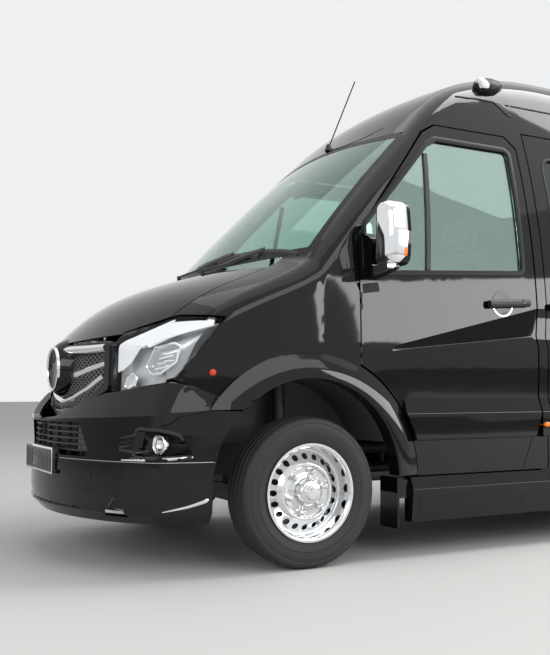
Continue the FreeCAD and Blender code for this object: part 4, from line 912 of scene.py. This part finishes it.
bm, rims = bmesh.new(), bmesh.new()
for y, z, half in ((1472, 652, 29), (3350, 652, 52), (5250, 652, 52)):
    oval = [(y + half * math.cos(math.pi * k / 12), z + 14 * math.sin(math.pi * k / 12)) for k in range(24)]
    mound(bm, oval, "left", low_skin, [(0.9, -2), (0.9, 7), (0.8, 11), (0.5, 13)])
    strip(rims, oval, "left", low_skin, [(-2, -1), (-2, 4), (0, 6), (3, 4), (3, -1)], 0)
piece("side_marker_lamps", bm, "orange_lamp", degrees=50, both=True)
piece("side_marker_frames", rims, "rubber", both=True)

shaped("step_panel_edges", "gloss_black", strip, rounded([(618, 298), (1310, 298), (1296, 212), (640, 212)],
        14), "left", low_skin, mirrored((-2.5, -2), (-2.5, 1)), both=True)


# Saloon windows, sliding door

RUBBER = [(-10, -3), (-9, 2), (-3, 4), (7, 2), (9, -3)]
for side, first_end in (("left", 2680), ("right", 2780)):
    skin = surface("body_side_" + side, *(["sliding_door"] if side == "left" else []))
    bm = bmesh.new()
    for y0, y1 in ((1625, first_end), (2900, 4180), (4290, 5570)):
        corners = [(y0, 1480, 70), (y1, 1480, 70), (y1, 2180, 70), (y0, 2180, 70)]
        strip(bm, rounded(outset(corners, 9)), side, skin, RUBBER, step=80)
    piece("saloon_window_rubbers_" + side, bm, "rubber")

slider_skin = surface("sliding_door", "body_side_left")
shaped("sliding_door_rail", "gloss_black", strip, [(2830, 1230), (4300, 1230)], "left", slider_skin,
       mirrored((-20, -6), (-20, 1.5), (-9, 1.5), (-8, -4)), 0, False, 60)
SLIDER_HANDLE = 1640, 1307
line = [(SLIDER_HANDLE[0] + a, SLIDER_HANDLE[1] + b)
        for a, b in ((-110, -8), (-90, -6), (0, 0), (60, 4), (110, 6))]
handle("sliding_door_bowl", "sliding_door_handle", SLIDER_HANDLE, 69, line, "left", slider_skin)


# Rear: lamp fields, window rubbers, plate, handle, high lamp, step ribs, reflectors

tail_skin = surface("tail_lamps")
shaped("tail_lamp_indicators", "orange_lamp", plate, rounded([(884, 1204), (972, 1204), (970, 1288),
        (882, 1288)], 10), "rear", tail_skin, 2, 3, 3, both=True)
shaped("tail_lamp_reversing", "clear_lamp", plate, rounded([(886, 1104), (974, 1104), (972, 1192),
        (884, 1192)], 10), "rear", tail_skin, 2, 3, 3, both=True)
bm = bmesh.new()
for z in (1098, 1198, 1294):
    strip(bm, [(878, z), (980, z)], "rear", tail_skin, mirrored((-4, -2), (-4, 3)), 0, False)
piece("tail_lamp_bars", bm, "rubber", both=True)
rear_skin = surface("rear_door_left")
REAR_PANE = [(130, 1430, 60), (700, 1430, 60), (640, 2240, 60), (130, 2240, 60)]
shaped("rear_window_rubber_left", "rubber", strip, rounded(outset(REAR_PANE, 9)), "rear", rear_skin, RUBBER,
       0.0, True, 60, body="rear_door_left", twin="rear_door_right")
shaped("rear_plate_frame", "black_plastic", strip, rounded(rect(110, 1165, 650, 1305), 12), "rear", rear_skin,
       mirrored((-6, -2), (-6, 4), (-2, 6)), body="rear_door_left")
shaped("rear_plate_blank", "plate", plate, rounded(rect(118, 1173, 642, 1297), 8), "rear", rear_skin, 3.5, 4,
       body="rear_door_left")
handle("rear_handle_bowl", "rear_handle", (-150, 1235), 62,
       [(-150, z) for z in (1130, 1160, 1235, 1300, 1335)], "rear", surface("rear_door_right"),
       "rear_door_right")
shaped("high_brake_lamp", "red_lamp", mound, rounded([(-120, 2672), (120, 2672), (112, 2700), (-112, 2700)],
        12), "rear", surface("roof_panel"), [(1, -2), (1, 6), (0.92, 12)], degrees=50)
step_skin = surface("rear_bumper")
bm = bmesh.new()
for y in range(5872, 5912, 8):
    strip(bm, [(-420, y), (420, y)], "top", step_skin, mirrored((-2.5, -1), (-2, 2)), 0, False, 200)
piece("rear_step_ribs", bm, "rubber")
shaped("rear_reflectors", "red_lamp", plate, rounded(rect(640, 440, 760, 474), 8), "rear", step_skin, 3, 4,
       both=True)


# Seats

CHANNELS = (-5 / 11, 5 / 11)
CHANNEL_DEEP, CHANNEL_HALF = 0.13, 0.045
DRAWN_IN, SEAM_LEVEL = 0.035, 0.55


def stuffed(c, size, matrix, power, crown=0.0, channels=()):
    """Where a point of a cube goes on a crowned form, its sides drawn in, channels sewn along its +z face."""
    q = c / sum(abs(a) ** power for a in c) ** (1 / power)
    x, y, z = q
    z *= 1 + crown * (1 - x * x) * (1 - y * y)
    x, y = x * (1 - DRAWN_IN * (1 - y * y)), y * (1 - DRAWN_IN * (1 - x * x))
    if q.z > 0.3:
        fade = min(1, 2.2 * (1 - abs(q.y)))
        z -= sum(CHANNEL_DEEP * math.exp(-((q.x - u) / CHANNEL_HALF) ** 2) for u in channels) * fade
    return matrix @ (Vector((x * size[0], y * size[1], z * size[2])) / 2000)


def pad(bm, cuts, *form):
    """A stuffed closed form."""
    made = bmesh.ops.create_cube(bm, size=2.0)["verts"]
    known = set(bm.verts) - set(made)
    bmesh.ops.subdivide_edges(bm, edges=list({e for v in made for e in v.link_edges}), cuts=cuts,
                              use_grid_fill=True)
    for v in set(bm.verts) - known:
        v.co = stuffed(v.co, *form)


def piping(bm, *form):
    """The sewn edge round a stuffed form."""
    points = []
    for k in range(48):
        a, b = math.cos(2 * math.pi * k / 48), math.sin(2 * math.pi * k / 48)
        top = max(abs(a), abs(b))
        points.append(stuffed(Vector((a / top, b / top, SEAM_LEVEL)), *form))
    tube(bm, points, 3.5, 6, closed=True)


LEAN = math.radians(8.7)


def seat_row(name, places, body=BODY):
    """Seats side by side, each (middle, front, width), with head restraints, piping and stands."""
    cushions, backs, heads, seams, stands = (bmesh.new() for _ in range(5))
    for x, y, width in places:
        for bm, size, back, height, turn, crown, cuts, power in (
                (cushions, (width, 480, 104), 252, 1000, math.radians(-2.4), 0.16, 21, 5.0),
                (backs, (width, 560, 96), 585, 1350, math.pi / 2 - LEAN, 0.16, 21, 5.0),
                (heads, (250, 165, 88), 641, 1728, math.pi / 2 - LEAN, 0.22, 11, 4.0)):
            place = Matrix.Translation(mm(x, y + back, height)) @ Matrix.Rotation(turn, 4, "X")
            pad(bm, cuts, size, place, power, crown, () if bm is heads else CHANNELS)
            piping(seams, size, place, power)
        for side in (-60, 60):
            tube(stands, [mm(x + side, y + 610, 1560), mm(x + side, y + 634, 1690)], 6)
        block(stands, (x - width / 2 + 12, y + 14, 925), (x + width / 2 - 12, y + 500, 958), 8)
        before = set(stands.verts)
        block(stands, (x - width / 2 + 14, -12, -285), (x + width / 2 - 14, 12, 285), 8)
        for v in set(stands.verts) - before:
            v.co = mm(0, y + 632, 1344) + Matrix.Rotation(-LEAN, 3, "X") @ (v.co - mm(0, 0, 0))
        block(stands, (x - width / 2 + 80, y + 120, 760), (x + width / 2 - 80, y + 460, 930), 14)
    made = [piece(name + "_" + part, bm, "seat_fabric", body, 60)[0]
            for part, bm in (("cushions", cushions), ("backs", backs), ("head_restraints", heads))]
    piece(name + "_piping", seams, "cab_plastic", body, 60)
    piece(name + "_stands", stands, "cab_plastic", body)
    return made


cab = seat_row("cab_seats", [(-440, 560, 480), (155, 560, 420), (585, 560, 400)])
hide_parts("cab_seats")
for k, y in enumerate((1750, 2500, 3250, 4000, 4850)):
    places = [(-645, y, 418), (-215, y, 418)] + ([(640, y, 418)] if y > 2590 else [])
    row = seat_row("seat_row_%d" % (k + 1), places)
    if k == 0:
        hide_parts("saloon_seats")


# Cab: instrument hood, vents, gear lever, inner mirror

dash_skin = surface("dashboard")
shaped("instrument_hood", "cab_plastic", mound, rounded(rect(-600, -40, -280, 190), 60), "top", dash_skin,
       [(1, -4), (0.98, 22), (0.9, 38), (0.6, 46)], degrees=50)
bm = bmesh.new()
for x in (-640, -120, 120, 640):
    at, normal, *_ = dash_skin.find_nearest(mm(x, 320, 1250))
    turned(bm, [(-4, 46), (6, 46), (9, 42), (7, 36), (2, 34), (2, 0)], at, normal, 32)
piece("air_vents", bm, "gloss_black", degrees=40)
bm = tube(bmesh.new(), [mm(-90, 285, 1010), mm(-84, 360, 1090), mm(-80, 392, 1150)], 9)
turned(bm, [(0, 10), (10, 22), (30, 27), (52, 24), (62, 12), (64, 0)], mm(-80, 390, 1146), (0, 0.3, 1), 20)
piece("gear_lever", bm, "black_plastic", degrees=50)
glass_inside = surface("windscreen")
at, normal, *_ = glass_inside.ray_cast(mm(0, -3000, 2090), Vector((0, 1, 0)))
glass_y = (at.y - FRONT_AXLE) * 1000
bm = block(bmesh.new(), (-125, glass_y + 62, 2000), (125, glass_y + 88, 2072), 10, 3)
tube(bm, [mm(0, glass_y + 8, 2090), mm(0, glass_y + 72, 2050)], 8)
piece("inner_mirror", bm, "rubber")


# Underneath: leaf springs, brake discs

bm = bmesh.new()
for k in range(3):
    half = 620 - 150 * k
    points = [mm(540, WHEELBASE + half * t / 10,
                 462 - 16 * k + 70 * (t / 10 * half / 620) ** 2) for t in range(-10, 11)]
    run(bm, points, [UP] * len(points), rect(-35, -6, 35, 6), False)
for y in (WHEELBASE - 612, WHEELBASE + 612):
    block(bm, (512, y - 26, 516), (568, y + 26, 640), 6)
for y in (-52, 52):
    tube(bm, [mm(540 + s, WHEELBASE + y, z) for s, z in ((-44, 300), (-44, 470), (44, 470), (44, 300))], 8)
piece("leaf_springs", bm, "dark_steel", both=True)
shaped("brake_disc_left", "cast_metal", turned, [(-36, 70), (-36, 148), (-58, 148), (-58, 70)], front_hub,
       (1, 0, 0), 64, True, body="front_wheel_left", twin="front_wheel_right")


# Studio: floor, backdrop light and lamps

bm = bmesh.new()
bmesh.ops.create_grid(bm, x_segments=1, y_segments=1, size=60)
mesh = bpy.data.meshes.new("studio_floor")
bm.to_mesh(mesh)
bm.free()
mesh.materials.append(finish_of("studio_floor", (0.62, 0.61, 0.59), 0.7, spread=0.1, scale=3))
obj = linked("studio_floor", mesh)

world = bpy.data.worlds.new("studio")
bpy.context.scene.world = world
world.use_nodes = True
made = world.node_tree.nodes
paths = made.new("ShaderNodeLightPath")
seen, seen_all = counted(made, "MAXIMUM"), counted(made, "MAXIMUM")
mix = made.new("ShaderNodeMix")
mix.data_type = "RGBA"
preset(mix, {"A": (0.42, 0.43, 0.45, 1), "B": (0.86, 0.87, 0.88, 1)})
wired(world.node_tree, (paths, "Is Camera Ray", seen, 0), (paths, "Is Glossy Ray", seen, 1),
      (seen, 0, seen_all, 0), (paths, "Is Transmission Ray", seen_all, 1),
      (seen_all, 0, mix, "Factor"), (mix, "Result", made["Background"], "Color"))

for name, place, size, power in (("top_box", (0.5, 0.5, 7.0), (9, 12), 200),
                                 ("sky_box", (1.6, 3.6, 7.2), (3.4, 6.5), 430),
                                 ("front_box", (5.5, -10.0, 4.5), (6, 4), 240),
                                 ("side_box", (12.0, 0.0, 8.0), (12, 5), 420),
                                 ("shoulder_box", (8.0, 6.2, 2.9), (7, 2.2), 380)):
    lamp = bpy.data.lights.new(name, "AREA")
    lamp.shape = "RECTANGLE"
    lamp.size, lamp.size_y = size
    lamp.energy = power
    obj = linked(name, lamp)
    obj.location = place
    obj.rotation_euler = (Vector((0, -1.0, 0.8)) - Vector(place)).to_track_quat("-Z", "Y").to_euler()

bpy.context.scene.view_settings.view_transform = "Standard"
